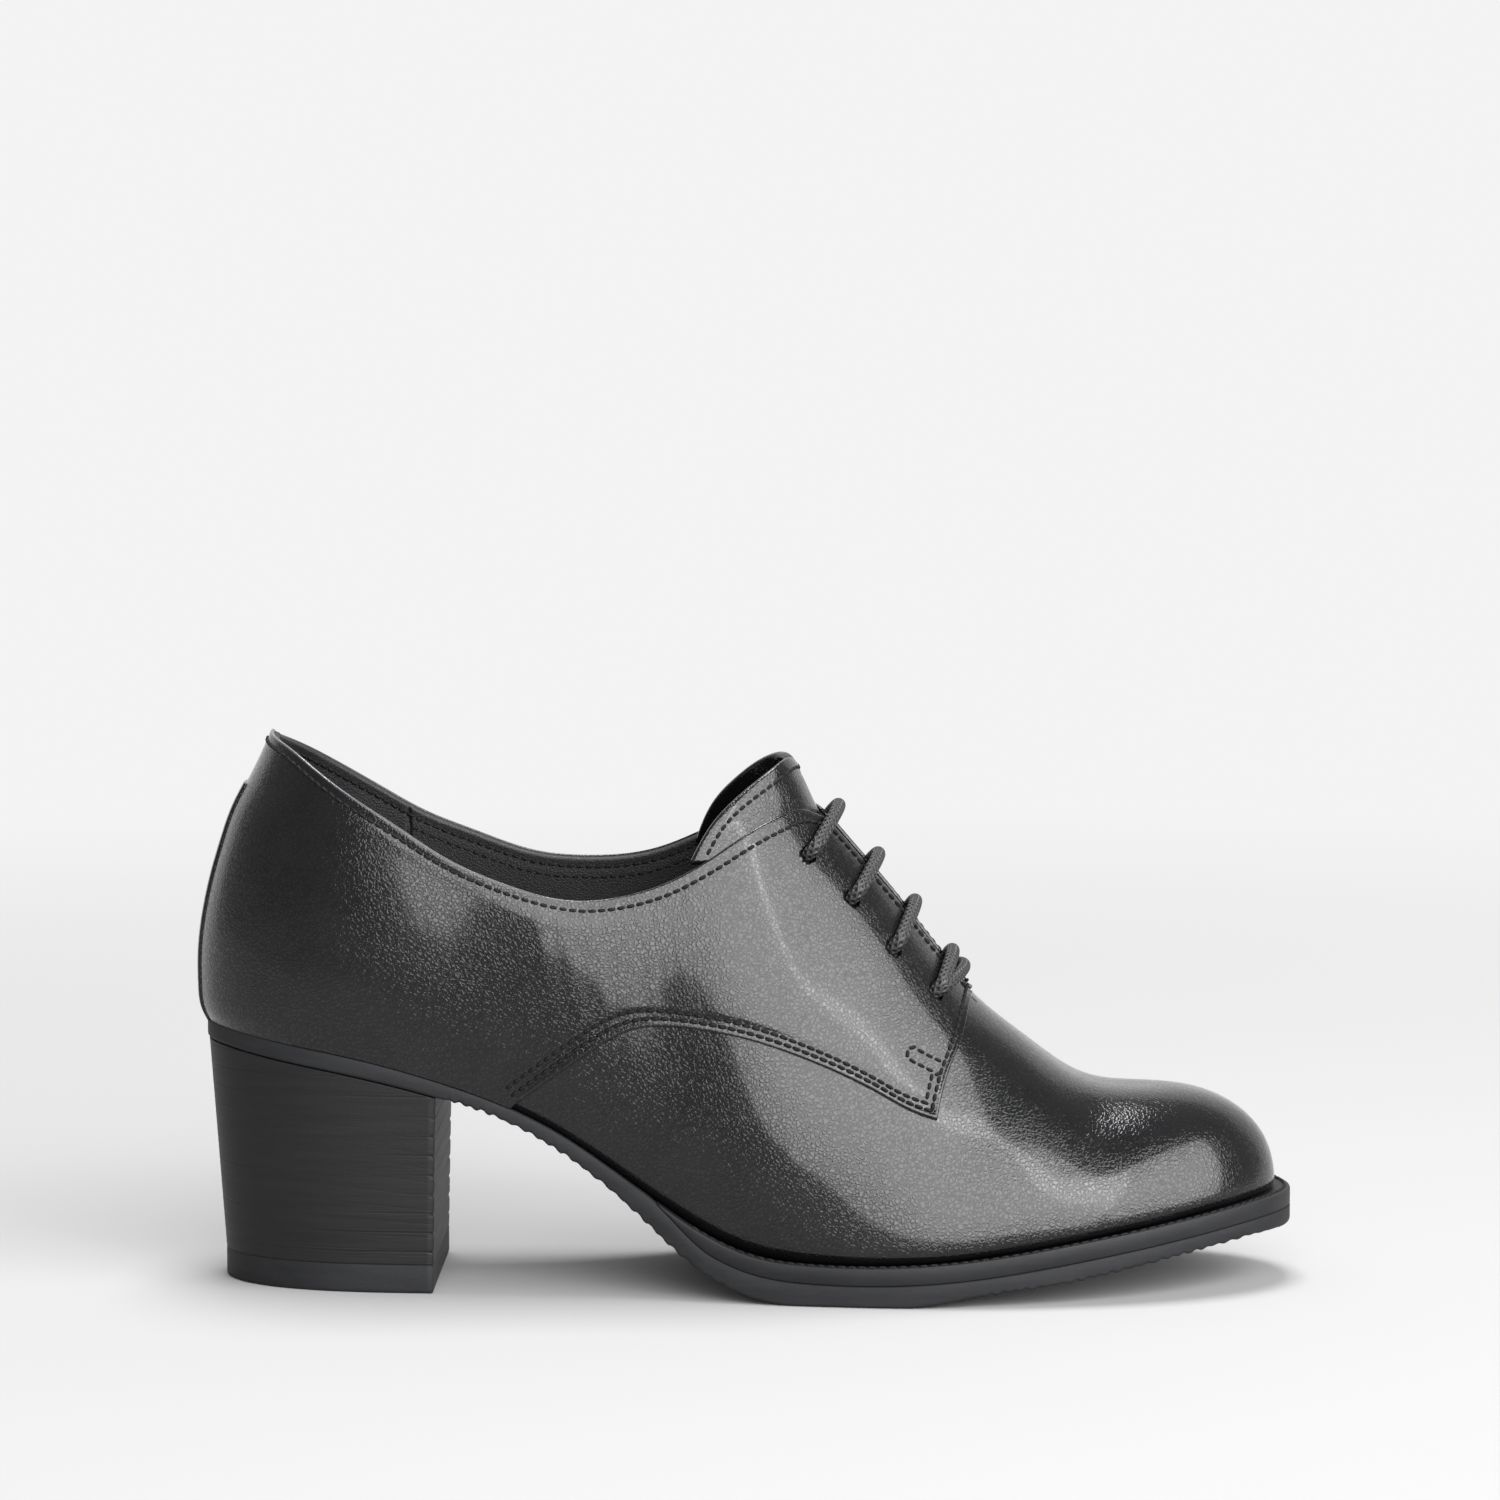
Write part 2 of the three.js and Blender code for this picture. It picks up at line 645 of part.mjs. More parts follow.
// A bar of lace lies over both facings, from one eyelet to the other.
// Seen from the side it runs straight from the eyelet to the ridge.
function laceBar([along, rise], over) {
  const lift = QUARTER_LIFT + FIT_GAP + LACE_WIDTH / 2;
  const start = edgePoint([along, rise]);
  const end = edgePoint([over, 1]);
  const places = [];
  for (const side of [OUTER, INNER]) {
    const line = LACE_STOPS.map((t) => {
      const place = start.clone().lerp(end, t);
      const u = angleOf((place.x - FORM_BACK_X) / FORM_LENGTH);
      return formOffset(u, shareAtRise(u, (place.y - seatAt(u)) / depthAt(u)), side, lift);
    });
    places.push(...(side === OUTER ? line : line.reverse()));
  }
  const path = new THREE.CatmullRomCurve3(places);
  const outline = new THREE.Shape();
  for (let k = 0; k < LACE_SIDES; k += 1) {
    const turn = (2 * Math.PI * k) / LACE_SIDES;
    const x = (LACE_WIDTH / 2) * Math.cos(turn);
    const y = (LACE_WIDTH / 2) * Math.sin(turn);
    if (k === 0) {
      outline.moveTo(x, y);
    } else {
      outline.lineTo(x, y);
    }
  }
  outline.closePath();
  const settings = { steps: LACE_STEPS, extrudePath: path, bevelEnabled: false };
  return toSolid(new THREE.ExtrudeGeometry(outline, settings));
}

// The lowest row has a second bar below the first, joined to it at the eyelets.
function laceGeometry(row, k) {
  const bar = laceBar(row, row[2]);
  return toGeometry(k === LACE_ROWS.length - 1 ? bar.add(laceBar(row, LOWER_BAR_OVER)) : bar);
}

// A point of the form's lower edge, moved out along the floor plan
function planPoint(u, side, offset) {
  const step = 0.002;
  const a = form(Math.max(u - step, 0), 0, side);
  const b = form(Math.min(u + step, 1), 0, side);
  const run = b.sub(a).setZ(0).normalize();
  const out = new THREE.Vector3(-side * run.y, side * run.x, 0);
  const atEnd = u <= 0 || u >= 1;
  if (atEnd) {
    out.set(u <= 0 ? -1 : 1, 0, 0);
  }
  const point = form(u, 0, side);
  if (atEnd) {
    point.y = BALL_WIDTH * section.swing.at(u);
  }
  return point.addScaledVector(out, offset);
}

// A closed body from rings that are stacked upwards.
// Each ring has the same count of points on its left and its right.
function stackGeometry(rings) {
  const count = rings[0].left.length;
  const points = rings.flatMap((ring) => [...[...ring.left].reverse(), ...ring.right]);
  const size = 2 * count;
  const triangles = [];
  for (let k = 0; k + 1 < rings.length; k += 1) {
    for (let i = 0; i < size; i += 1) {
      const next = (i + 1) % size;
      quad(triangles, k * size + i, k * size + next, (k + 1) * size + next, (k + 1) * size + i);
    }
  }
  for (const [ring, up] of [[0, false], [rings.length - 1, true]]) {
    for (let i = 0; i + 1 < count; i += 1) {
      const left = ring * size + count - 1 - i;
      const right = ring * size + count + i;
      if (up) {
        quad(triangles, left, right, right + 1, left - 1);
      } else {
        quad(triangles, left, left - 1, right + 1, right);
      }
    }
  }
  return closedGeometry(points, triangles);
}

// A ring of the sole at given stations, at a height that depends on the station
function soleRing(stations, offsetAt, heightAt) {
  const ring = { left: [], right: [] };
  stations.forEach((u, i) => {
    for (const [name, side] of [["left", OUTER], ["right", INNER]]) {
      const point = planPoint(u, side, offsetAt(u));
      ring[name].push(point.setZ(heightAt(stationAtX(point.x), i)));
    }
  });
  return ring;
}

const ledgeAt = (u) => SOLE_LEDGE * sole.ledge.at(u);
const soleTopAt = (u) => seatAt(u) - FIT_GAP;
const midsoleShare = (u) => THREE.MathUtils.smoothstep(alongOf(u), MIDSOLE_START, MIDSOLE_FULL);
const outsoleTopAt = (u) => soleTopAt(u) - (MIDSOLE_THICKNESS + FIT_GAP) * midsoleShare(u);
const soleUnderAt = (u) => Math.max(seatAt(u) - SOLE_DEPTH * sole.deep.at(u), 0);

const BREAST_ALONG = (BREAST_X - FORM_BACK_X) / FORM_LENGTH;
const HALF_RIB = RIB_PITCH / 2 / FORM_LENGTH;

// Stretches of the underside. from, to, stride: shares of the form's length.
// rib: share of the ribs' depth.
const UNDERSIDE = [
  { from: BREAST_ALONG + HALF_RIB, to: 0.5, stride: HALF_RIB, rib: 1 },
  { from: 0.515, to: 0.68, stride: 0.025, rib: 0 },
  { from: 0.695, to: 0.955, stride: HALF_RIB, rib: 0.7 },
];

// Stations along the outsole, close together where its underside is ribbed
function soleStations() {
  const plain = (u) => ({ u, rib: 0 });
  const list = evenStations(0, angleOf(BREAST_ALONG), HEEL_STATIONS).slice(0, -1).map(plain);
  for (const { from, to, stride, rib } of UNDERSIDE) {
    const count = Math.round((to - from) / stride);
    evenStations(from, to, count).forEach((along, k) => {
      list.push({ u: angleOf(along), rib: k % 2 === 1 ? rib : 0 });
    });
  }
  const last = list[list.length - 1].u;
  return list.concat(evenStations(last, 1, TOE_STATIONS).slice(1).map(plain));
}

function outsoleGeometry() {
  const list = soleStations();
  const stations = list.map((entry) => entry.u);
  const under = (u, i) => soleUnderAt(u) + RIB_DEPTH * list[i].rib;
  return stackGeometry([
    soleRing(stations, (u) => ledgeAt(u) - SOLE_BEVEL, under),
    soleRing(stations, ledgeAt, (u, i) => under(u, i) + SOLE_BEVEL),
    soleRing(stations, ledgeAt, outsoleTopAt),
  ]);
}

function midsoleGeometry() {
  const from = angleOf(MIDSOLE_START + MIDSOLE_EDGE * (MIDSOLE_FULL - MIDSOLE_START));
  const stations = evenStations(from, 1, MIDSOLE_STATIONS);
  return stackGeometry([
    soleRing(stations, ledgeAt, (u) => outsoleTopAt(u) + FIT_GAP),
    soleRing(stations, ledgeAt, soleTopAt),
  ]);
}

function insoleGeometry() {
  const inset = (u) => -(WALL_INSIDE + FIT_GAP + INSOLE_WAIST_INSET * (1 - Math.abs(2 * u - 1)));
  const stations = evenStations(0, 1, STATIONS);
  return stackGeometry([
    soleRing(stations, inset, seatAt),
    soleRing(stations, inset, (u) => seatAt(u) + INSOLE_THICKNESS),
  ]);
}

// The heel's plan: the sole's own outline at the top, drawn in to the base's sizes
function heelPlan() {
  const stations = evenStations(0, angleOf(BREAST_ALONG), HEEL_STATIONS);
  return soleRing(stations, (u) => ledgeAt(u) - HEEL_INSET, soleUnderAt);
}

function heelRing(plan, share, heightOf, inset, groove) {
  const back = plan.left[0].x;
  const widest = Math.max(...plan.left.map((p) => -p.y), ...plan.right.map((p) => p.y));
  const baseLength = HEEL_BASE_FRONT_X - HEEL_BASE_BACK_X - 2 * inset;
  const baseHalf = HEEL_BASE_WIDTH / 2 - inset;
  const place = (p, i) => {
    const onLength = (p.x - back) / (BREAST_X - back);
    const baseX = HEEL_BASE_BACK_X + inset + onLength * baseLength;
    const point = new THREE.Vector3();
    point.x = THREE.MathUtils.lerp(baseX, p.x, share);
    point.y = THREE.MathUtils.lerp((p.y * baseHalf) / widest, p.y, share);
    point.z = heightOf(p);
    if (i === plan.left.length - 1) {
      point.x = THREE.MathUtils.lerp(HEEL_BASE_FRONT_X - inset, BREAST_X, share) - groove;
    }
    return point;
  };
  return { left: plan.left.map(place), right: plan.right.map(place) };
}

function heelBlockGeometry() {
  const plan = heelPlan();
  const breastTop = plan.left[plan.left.length - 1].z - FIT_GAP;
  const levels = [{ z: LIFT_THICKNESS, groove: 0 }];
  for (let k = 0; k < BREAST_GROOVES; k += 1) {
    const z = BREAST_FIRST_Z + k * BREAST_PITCH;
    levels.push({ z, groove: 0 }, { z: z + BREAST_PITCH / 2, groove: BREAST_DEPTH });
  }
  levels.push({ z: BREAST_FIRST_Z + BREAST_GROOVES * BREAST_PITCH, groove: 0 }, { z: breastTop, groove: 0 });
  return stackGeometry(
    levels.map(({ z, groove }) => {
      const share = (z - LIFT_THICKNESS) / (breastTop - LIFT_THICKNESS);
      const heightOf = (p) => THREE.MathUtils.lerp(LIFT_THICKNESS, p.z - FIT_GAP, share);
      return heelRing(plan, share, heightOf, 0, groove);
    }),
  );
}

function topLiftGeometry() {
  const plan = heelPlan();
  return stackGeometry([
    heelRing(plan, 0, () => 0, LIFT_BEVEL, 0),
    heelRing(plan, 0, () => LIFT_BEVEL, 0, 0),
    heelRing(plan, 0, () => LIFT_THICKNESS, 0, 0),
  ]);
}

const shoe = new THREE.Group();

function addPiece(name, geometry, finish) {
  const solid = geometry.getIndex() ? geometry.toNonIndexed() : geometry;
  solid.computeVertexNormals();
  const mesh = new THREE.Mesh(solid, new THREE.MeshStandardMaterial(FINISHES[finish]));
  mesh.name = name;
  shoe.add(mesh);
}

addPiece("outsole", outsoleGeometry(), "outsole");
addPiece("midsole", midsoleGeometry(), "midsole");
addPiece("insole", insoleGeometry(), "insole");
addPiece("heel_block", heelBlockGeometry(), "heel_block");
addPiece("top_lift", topLiftGeometry(), "top_lift");
addPiece("upper", upperGeometry(), "upper");
addPiece("tongue", tongueGeometry(), "tongue");
LACE_ROWS.forEach((row, k) => addPiece(`lace_${k + 1}`, laceGeometry(row, k), "lace"));

export default shoe;
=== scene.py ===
import math

import bmesh
import bpy
import numpy as np
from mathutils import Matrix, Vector


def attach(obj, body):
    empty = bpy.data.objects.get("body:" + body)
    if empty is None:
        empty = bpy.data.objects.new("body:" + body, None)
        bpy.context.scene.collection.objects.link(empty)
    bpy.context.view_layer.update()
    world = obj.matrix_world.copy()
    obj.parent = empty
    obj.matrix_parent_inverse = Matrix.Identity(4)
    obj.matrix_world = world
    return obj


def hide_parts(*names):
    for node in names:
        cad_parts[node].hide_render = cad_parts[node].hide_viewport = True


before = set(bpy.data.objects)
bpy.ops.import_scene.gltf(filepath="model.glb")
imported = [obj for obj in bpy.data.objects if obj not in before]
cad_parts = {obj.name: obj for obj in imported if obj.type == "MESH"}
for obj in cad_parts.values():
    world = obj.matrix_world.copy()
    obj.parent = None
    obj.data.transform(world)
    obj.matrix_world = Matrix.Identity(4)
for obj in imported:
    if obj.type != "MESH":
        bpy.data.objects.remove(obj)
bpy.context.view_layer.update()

bl_info = {
    "name": "Heeled derby shoe",
    "version": (1, 0, 0),
    "blender": (4, 5, 0),
    "location": "View3D > Sidebar > Shoe",
    "description": "Builds a black leather derby shoe with a block heel over its frame",
    "category": "Object",
}

# Lengths below are millimetres; meshes are written in metres.
MM = 0.001
OUTER = -1
INNER = 1

# The form that the upper follows, as in the frame
FORM_LENGTH = 243.5
FORM_BACK_X = -29.0
BALL_WIDTH = 81.1
INSTEP_DEPTH = 116.0
BALL_SEAT = 9.2
HEEL_RISE = 49.8
TOE_SPRING = 11.6
HEEL_CURVE_REACH = 0.39
TOE_ROLL = 0.111
TOE_ROLL_REACH = 0.287

SECTION_COLUMNS = ("along", "outer", "inner", "swing", "rise", "spring", "depth", "full", "square", "tuck")
SECTIONS = (
    (0.000, 0.000, 0.000, 0.000, 1.000, 0.000, 0.664, 4.00, 2.00, 0.05),
    (0.020, 0.179, 0.173, 0.000, 0.988, 0.000, 0.669, 4.00, 2.00, 0.05),
    (0.080, 0.308, 0.302, 0.000, 0.938, 0.000, 0.691, 4.00, 2.00, 0.05),
    (0.145, 0.355, 0.348, 0.000, 0.884, 0.000, 0.714, 4.00, 2.00, 0.05),
    (0.235, 0.374, 0.351, 0.000, 0.769, 0.000, 0.763, 3.60, 2.00, 0.05),
    (0.340, 0.388, 0.339, 0.000, 0.548, 0.000, 0.849, 3.00, 2.00, 0.06),
    (0.440, 0.419, 0.364, 0.000, 0.217, 0.000, 0.978, 2.40, 2.00, 0.06),
    (0.510, 0.456, 0.401, 0.000, 0.044, 0.000, 1.001, 2.00, 2.00, 0.05),
    (0.570, 0.487, 0.438, 0.004, 0.002, 0.000, 0.868, 1.60, 2.00, 0.04),
    (0.640, 0.509, 0.472, 0.007, 0.000, 0.000, 0.686, 1.35, 2.00, 0.03),
    (0.715, 0.509, 0.491, 0.012, 0.000, 0.112, 0.473, 1.35, 2.05, 0.03),
    (0.765, 0.491, 0.485, 0.016, 0.000, 0.250, 0.370, 1.45, 2.20, 0.03),
    (0.815, 0.461, 0.467, 0.021, 0.000, 0.414, 0.280, 1.45, 2.50, 0.03),
    (0.865, 0.417, 0.432, 0.025, 0.000, 0.586, 0.242, 1.40, 3.00, 0.03),
    (0.930, 0.321, 0.345, 0.031, 0.000, 0.810, 0.216, 1.30, 3.60, 0.03),
    (0.975, 0.203, 0.228, 0.037, 0.000, 0.948, 0.195, 1.25, 3.90, 0.03),
    (1.000, 0.000, 0.000, 0.037, 0.000, 1.000, 0.185, 1.25, 4.00, 0.03),
)
HEEL_CURVE = (
    (-0.026, 0.0140), (-0.009, 0.0099), (0.017, 0.0033), (0.060, 0.0000), (0.129, 0.0000),
    (0.216, 0.0053), (0.284, 0.0127), (0.353, 0.0226), (0.414, 0.0333), (0.466, 0.0464),
    (0.547, 0.0649), (0.612, 0.0760), (0.664, 0.0801),
)

# Edges on the side of the form: share of its length, share of its depth there
COLLAR_OUTER = (
    (0.070, 0.841), (0.093, 0.809), (0.143, 0.714), (0.192, 0.636), (0.240, 0.569),
    (0.287, 0.538), (0.343, 0.537), (0.400, 0.590), (0.459, 0.678), (0.516, 0.807),
    (0.545, 0.896), (0.559, 0.939), (0.573, 0.967), (0.584, 0.985),
)
COLLAR_INNER = (
    (0.070, 0.830), (0.093, 0.785), (0.132, 0.715), (0.166, 0.659), (0.200, 0.613),
    (0.250, 0.577), (0.301, 0.558), (0.361, 0.586), (0.421, 0.647), (0.464, 0.711),
    (0.516, 0.810), (0.545, 0.896), (0.559, 0.939), (0.573, 0.967), (0.584, 0.985),
)
COLLAR_BACK_RISE = 0.845
QUARTER_FRONT = ((0.716, 0.998), (0.710, 0.902), (0.703, 0.780), (0.691, 0.626), (0.683, 0.475))
QUARTER_LOWER = (
    (0.683, 0.475), (0.662, 0.458), (0.633, 0.454), (0.576, 0.443), (0.517, 0.411),
    (0.459, 0.378), (0.400, 0.310), (0.363, 0.215), (0.313, 0.063), (0.293, 0.000),
)
TONGUE_TOP = (
    (0.546, 1.000), (0.536, 0.970), (0.524, 0.925), (0.500, 0.849), (0.478, 0.783), (0.457, 0.695),
)
# Lace rows: the eyelet's place, and where the bar passes over the ridge
LACE_ROWS = (
    (0.564, 0.863, 0.584), (0.604, 0.870, 0.621), (0.642, 0.856, 0.655), (0.681, 0.870, 0.690),
)
LOWER_BAR_OVER = 0.701
# Sole sections: share of the widest ledge, share of the sole's depth
SOLE_SECTIONS = (
    (0.00, 0.25, 0.524), (0.10, 0.15, 0.510), (0.20, 0.15, 0.480), (0.27, 0.15, 0.440),
    (0.34, 0.20, 0.520), (0.41, 0.45, 0.750), (0.46, 0.80, 1.080), (0.51, 1.00, 1.150),
    (0.60, 1.00, 1.160), (0.67, 1.00, 1.100), (0.71, 1.00, 1.010), (0.80, 1.00, 1.020),
    (0.86, 1.00, 0.980), (1.00, 1.00, 0.980),
)

# Levels of the layers, measured outwards from the form
QUARTER_LEVEL = 0.5
QUARTER_UNDER = -0.4
VAMP_LEVEL = -0.5
VAMP_UNDER = -1.6
LINING_LEVEL = -0.45
LINING_HIDDEN = -1.66
LINING_UNDER = -1.85
BACK_STRIP_LEVEL = 1.05
BACK_STRIP_WIDTH = 10.4
BACK_STRIP_TOP = 112.0
TONGUE_LEVEL = -2.6
TONGUE_THICKNESS = 1.6
TONGUE_FAR_BACK = 0.004
TONGUE_ROW = 3.0
TONGUE_BAND = 3.8
TONGUE_BASE = 0.735
TONGUE_SIDE_TOP = 0.445
TONGUE_SIDE_BASE = 0.6
FACING_START = 0.42
FACING_HALF_TOP = 6.6
FACING_HALF_END = 4.2

# Sole and heel
FIT_GAP = 0.3
MIDSOLE_THICKNESS = 3.7
MIDSOLE_START = 0.415
MIDSOLE_FULL = 0.48
SOLE_DEPTH = 8.4
SOLE_LEDGE = 3.0
RIB_PITCH = 2.7
RIB_DEPTH = 0.6
INSOLE_THICKNESS = 2.2
BREAST_X = 25.5
HEEL_INSET = 0.4
HEEL_BASE_BACK_X = -24.0
HEEL_BASE_FRONT_X = 24.8
HEEL_BASE_WIDTH = 54.0
LIFT_THICKNESS = 6.5
BREAST_GROOVES = 7
BREAST_PITCH = 4.4
BREAST_DEPTH = 0.7
BREAST_FIRST_Z = 9.0


class ShoeSizes(bpy.types.PropertyGroup):
    """Sizes of the trimmings that a user would change."""

    stitch_pitch: bpy.props.FloatProperty(
        name="Stitch pitch", description="Distance between the upper's stitches",
        default=2.15, unit="LENGTH")
    stitch_width: bpy.props.FloatProperty(
        name="Stitch width", description="Width of the upper's thread", default=0.85, unit="LENGTH")
    welt_pitch: bpy.props.FloatProperty(
        name="Welt stitch pitch", description="Distance between the stitches on the sole's ledge",
        default=2.3, unit="LENGTH")
    lace_width: bpy.props.FloatProperty(
        name="Lace width", description="Diameter of the round lace", default=2.9, unit="LENGTH")
    eyelet_width: bpy.props.FloatProperty(
        name="Eyelet width", description="Diameter of the punched holes", default=4.0, unit="LENGTH")
    grain_pitch: bpy.props.FloatProperty(
        name="Grain pitch", description="Size of the leather's grain", default=0.75, unit="LENGTH")


class ShoeColours(bpy.types.PropertyGroup):
    """Colours of the finishes that a user would change."""

    leather: bpy.props.FloatVectorProperty(
        name="Leather", description="Colour of the upper's leather", subtype="COLOR", size=3,
        default=(0.0032, 0.0032, 0.0036), min=0, max=1)
    lining: bpy.props.FloatVectorProperty(
        name="Lining", description="Colour of the lining leather", subtype="COLOR", size=3,
        default=(0.0035, 0.0035, 0.0038), min=0, max=1)
    thread: bpy.props.FloatVectorProperty(
        name="Thread", description="Colour of the sewing thread", subtype="COLOR", size=3,
        default=(0.0040, 0.0040, 0.0044), min=0, max=1)
    lace: bpy.props.FloatVectorProperty(
        name="Lace", description="Colour of the waxed lace", subtype="COLOR", size=3,
        default=(0.0065, 0.0065, 0.0070), min=0, max=1)
    sole_edge: bpy.props.FloatVectorProperty(
        name="Sole edge", description="Colour of the sole's trimmed edge", subtype="COLOR", size=3,
        default=(0.0100, 0.0103, 0.0114), min=0, max=1)
    heel: bpy.props.FloatVectorProperty(
        name="Heel", description="Colour of the stacked heel", subtype="COLOR", size=3,
        default=(0.0080, 0.0080, 0.0087), min=0, max=1)
    floor: bpy.props.FloatVectorProperty(
        name="Floor", description="Colour of the floor", subtype="COLOR", size=3,
        default=(0.350, 0.350, 0.350), min=0, max=1)


class Spline:
    """A natural cubic spline: cubics that join smoothly, straight at both ends."""

    def __init__(self, places, values):
        self.places = np.asarray(places, float)
        self.values = np.asarray(values, float)
        steps = np.diff(self.places)
        matrix = np.eye(len(self.places))
        right = np.zeros(len(self.places))
        inside = np.arange(1, len(self.places) - 1)
        matrix[inside, inside - 1] = steps[:-1]
        matrix[inside, inside] = 2 * (steps[:-1] + steps[1:])
        matrix[inside, inside + 1] = steps[1:]
        right[inside] = 6 * np.diff(np.diff(self.values) / steps)
        self.bends = np.linalg.solve(matrix, right)

    def __call__(self, place):
        where = np.clip(place, self.places[0], self.places[-1])
        i = np.clip(np.searchsorted(self.places, where) - 1, 0, len(self.places) - 2)
        step = self.places[i + 1] - self.places[i]
        a = (self.places[i + 1] - where) / step
        b = 1 - a
        bend = (a**3 - a) * self.bends[i] + (b**3 - b) * self.bends[i + 1]
        return a * self.values[i] + b * self.values[i + 1] + bend * step**2 / 6


def angle_of(along):
    """The station of a share of the length: the angle whose cosine falls from 1 to -1."""
    return np.arccos(np.clip(1 - 2 * np.asarray(along, float), -1, 1)) / np.pi


def along_of(u):
    return (1 - np.cos(np.pi * np.asarray(u, float))) / 2


def smooth(value, low, high):
    """A smooth step from 0 at low to 1 at high."""
    t = np.clip((value - low) / (high - low), 0, 1)
    return t * t * (3 - 2 * t)


def smooth_least(a, b, soft):
    """The lesser of two arrays, rounded where they cross over a width called soft."""
    h = np.clip(0.5 + 0.5 * (b - a) / soft, 0, 1)
    return b * (1 - h) + a * h - soft * h * (1 - h)


STATIONS = angle_of([row[0] for row in SECTIONS])
SECTION = {
    name: Spline(STATIONS, [row[k + 1] for row in SECTIONS]) for k, name in enumerate(SECTION_COLUMNS[1:])
}
HEEL_LEAN = Spline(*zip(*HEEL_CURVE))
SOLE_PLACES = angle_of([row[0] for row in SOLE_SECTIONS])
LEDGE = Spline(SOLE_PLACES, [row[1] for row in SOLE_SECTIONS])
DEEP = Spline(SOLE_PLACES, [row[2] for row in SOLE_SECTIONS])


def seat_at(u):
    return BALL_SEAT + HEEL_RISE * SECTION["rise"](u) + TOE_SPRING * SECTION["spring"](u)


def depth_at(u):
    return INSTEP_DEPTH * SECTION["depth"](u)


def back_fade(x):
    return np.clip(1 - (x - FORM_BACK_X) / (HEEL_CURVE_REACH * FORM_LENGTH), 0, 1) ** 2


def heel_lean(z):
    return FORM_LENGTH * HEEL_LEAN((z - seat_at(0.0)) / INSTEP_DEPTH)


def form(u, h, side):
    """The form: at station u the section rises by 1 - (1 - h)^square from the seat to the
    ridge, its half width is (1 - rise^full)^(1 / square), the toe rolls back as it rises,
    and the heel leans by the heel curve."""
    u, h, side = np.broadcast_arrays(np.asarray(u, float), np.asarray(h, float), np.asarray(side, float))
    x = FORM_BACK_X + FORM_LENGTH * along_of(u)
    toe_fade = np.clip(1 - (FORM_BACK_X + FORM_LENGTH - x) / (TOE_ROLL_REACH * FORM_LENGTH), 0, 1) ** 2
    square = SECTION["square"](u)
    rise = 1 - np.clip(1 - h, 0, 1) ** square
    roll = (1 - (1 - h) ** 2) ** 2
    rolled_x = x - TOE_ROLL * FORM_LENGTH * roll * toe_fade
    rolled_u = angle_of((rolled_x - FORM_BACK_X) / FORM_LENGTH)
    z = seat_at(rolled_u) + depth_at(rolled_u) * rise
    half = BALL_WIDTH * np.where(side < 0, SECTION["outer"](u), SECTION["inner"](u))
    profile = np.clip(1 - rise ** SECTION["full"](u), 0, 1) ** (1 / square)
    tuck = 1 - SECTION["tuck"](u) * np.clip(1 - h / 0.14, 0, 1) ** 2
    y = BALL_WIDTH * SECTION["swing"](u) + side * half * profile * tuck
    return np.stack([rolled_x + heel_lean(z) * back_fade(x), y, z], -1)


def along_step(u, h, side, step=0.0015):
    """How the form moves for a unit of u."""
    high = np.minimum(u + step, 1)
    low = np.maximum(u - step, 0)
    return (form(high, h, side) - form(low, h, side)) / (high - low)[..., None]


def up_step(u, h, side, step=0.0015):
    """How the form moves for a unit of h."""
    high = np.minimum(h + step, 1)
    low = np.maximum(h - step, 0)
    return (form(u, high, side) - form(u, low, side)) / (high - low)[..., None]


def outward(u, h, side):
    """The form's outward direction: the cross product of its two steps."""
    u, h, side = np.broadcast_arrays(np.asarray(u, float), np.asarray(h, float), np.asarray(side, float))
    normal = np.cross(along_step(u, h, side), up_step(u, h, side)) * -side[..., None]
    return normal / np.maximum(np.linalg.norm(normal, axis=-1, keepdims=True), 1e-9)


def layer(u, h, side, level):
    """Points a set way out from the form."""
    return form(u, h, side) + outward(u, h, side) * np.asarray(level)[..., None]


def on_form(rows):
    """The stations and heights of edge points that are drawn in the plane of X and Z."""
    along, rise = np.array(rows, float).T
    x = FORM_BACK_X + FORM_LENGTH * along
    u_plain = angle_of(along)
    z = seat_at(u_plain) + depth_at(u_plain) * rise
    u = u_plain
    for _ in range(25):
        lean = heel_lean(z) * back_fade(FORM_BACK_X + FORM_LENGTH * along_of(u))
        u = angle_of((x - lean - FORM_BACK_X) / FORM_LENGTH)
    share = np.clip((z - seat_at(u)) / depth_at(u), 0, 1)
    return u, 1 - (1 - share) ** (1 / SECTION["square"](u))


FRONT_U, FRONT_H = on_form(QUARTER_FRONT[::-1])
FRONT_LINE = Spline(FRONT_H, FRONT_U)
END_U = float(FRONT_LINE(1.0))


def skew(u_flat, h):
    """The quarter's own station: near its front, stations lean as its front edge does."""
    return u_flat - (END_U - FRONT_LINE(h)) * smooth(u_flat, END_U - 0.16, END_U)


def unskew(u, h):
    flat = u
    for _ in range(30):
        flat = u + (END_U - FRONT_LINE(h)) * smooth(flat, END_U - 0.16, END_U)
    return flat


def lower_line():
    u, h = on_form(QUARTER_LOWER[::-1])
    return Spline(unskew(u, h), h)


def collar_line(rows):
    u, h = on_form(rows)
    back = 1 - (1 - COLLAR_BACK_RISE) ** 0.5
    return Spline(np.concatenate([[0.0], u]), np.concatenate([[back], h]))


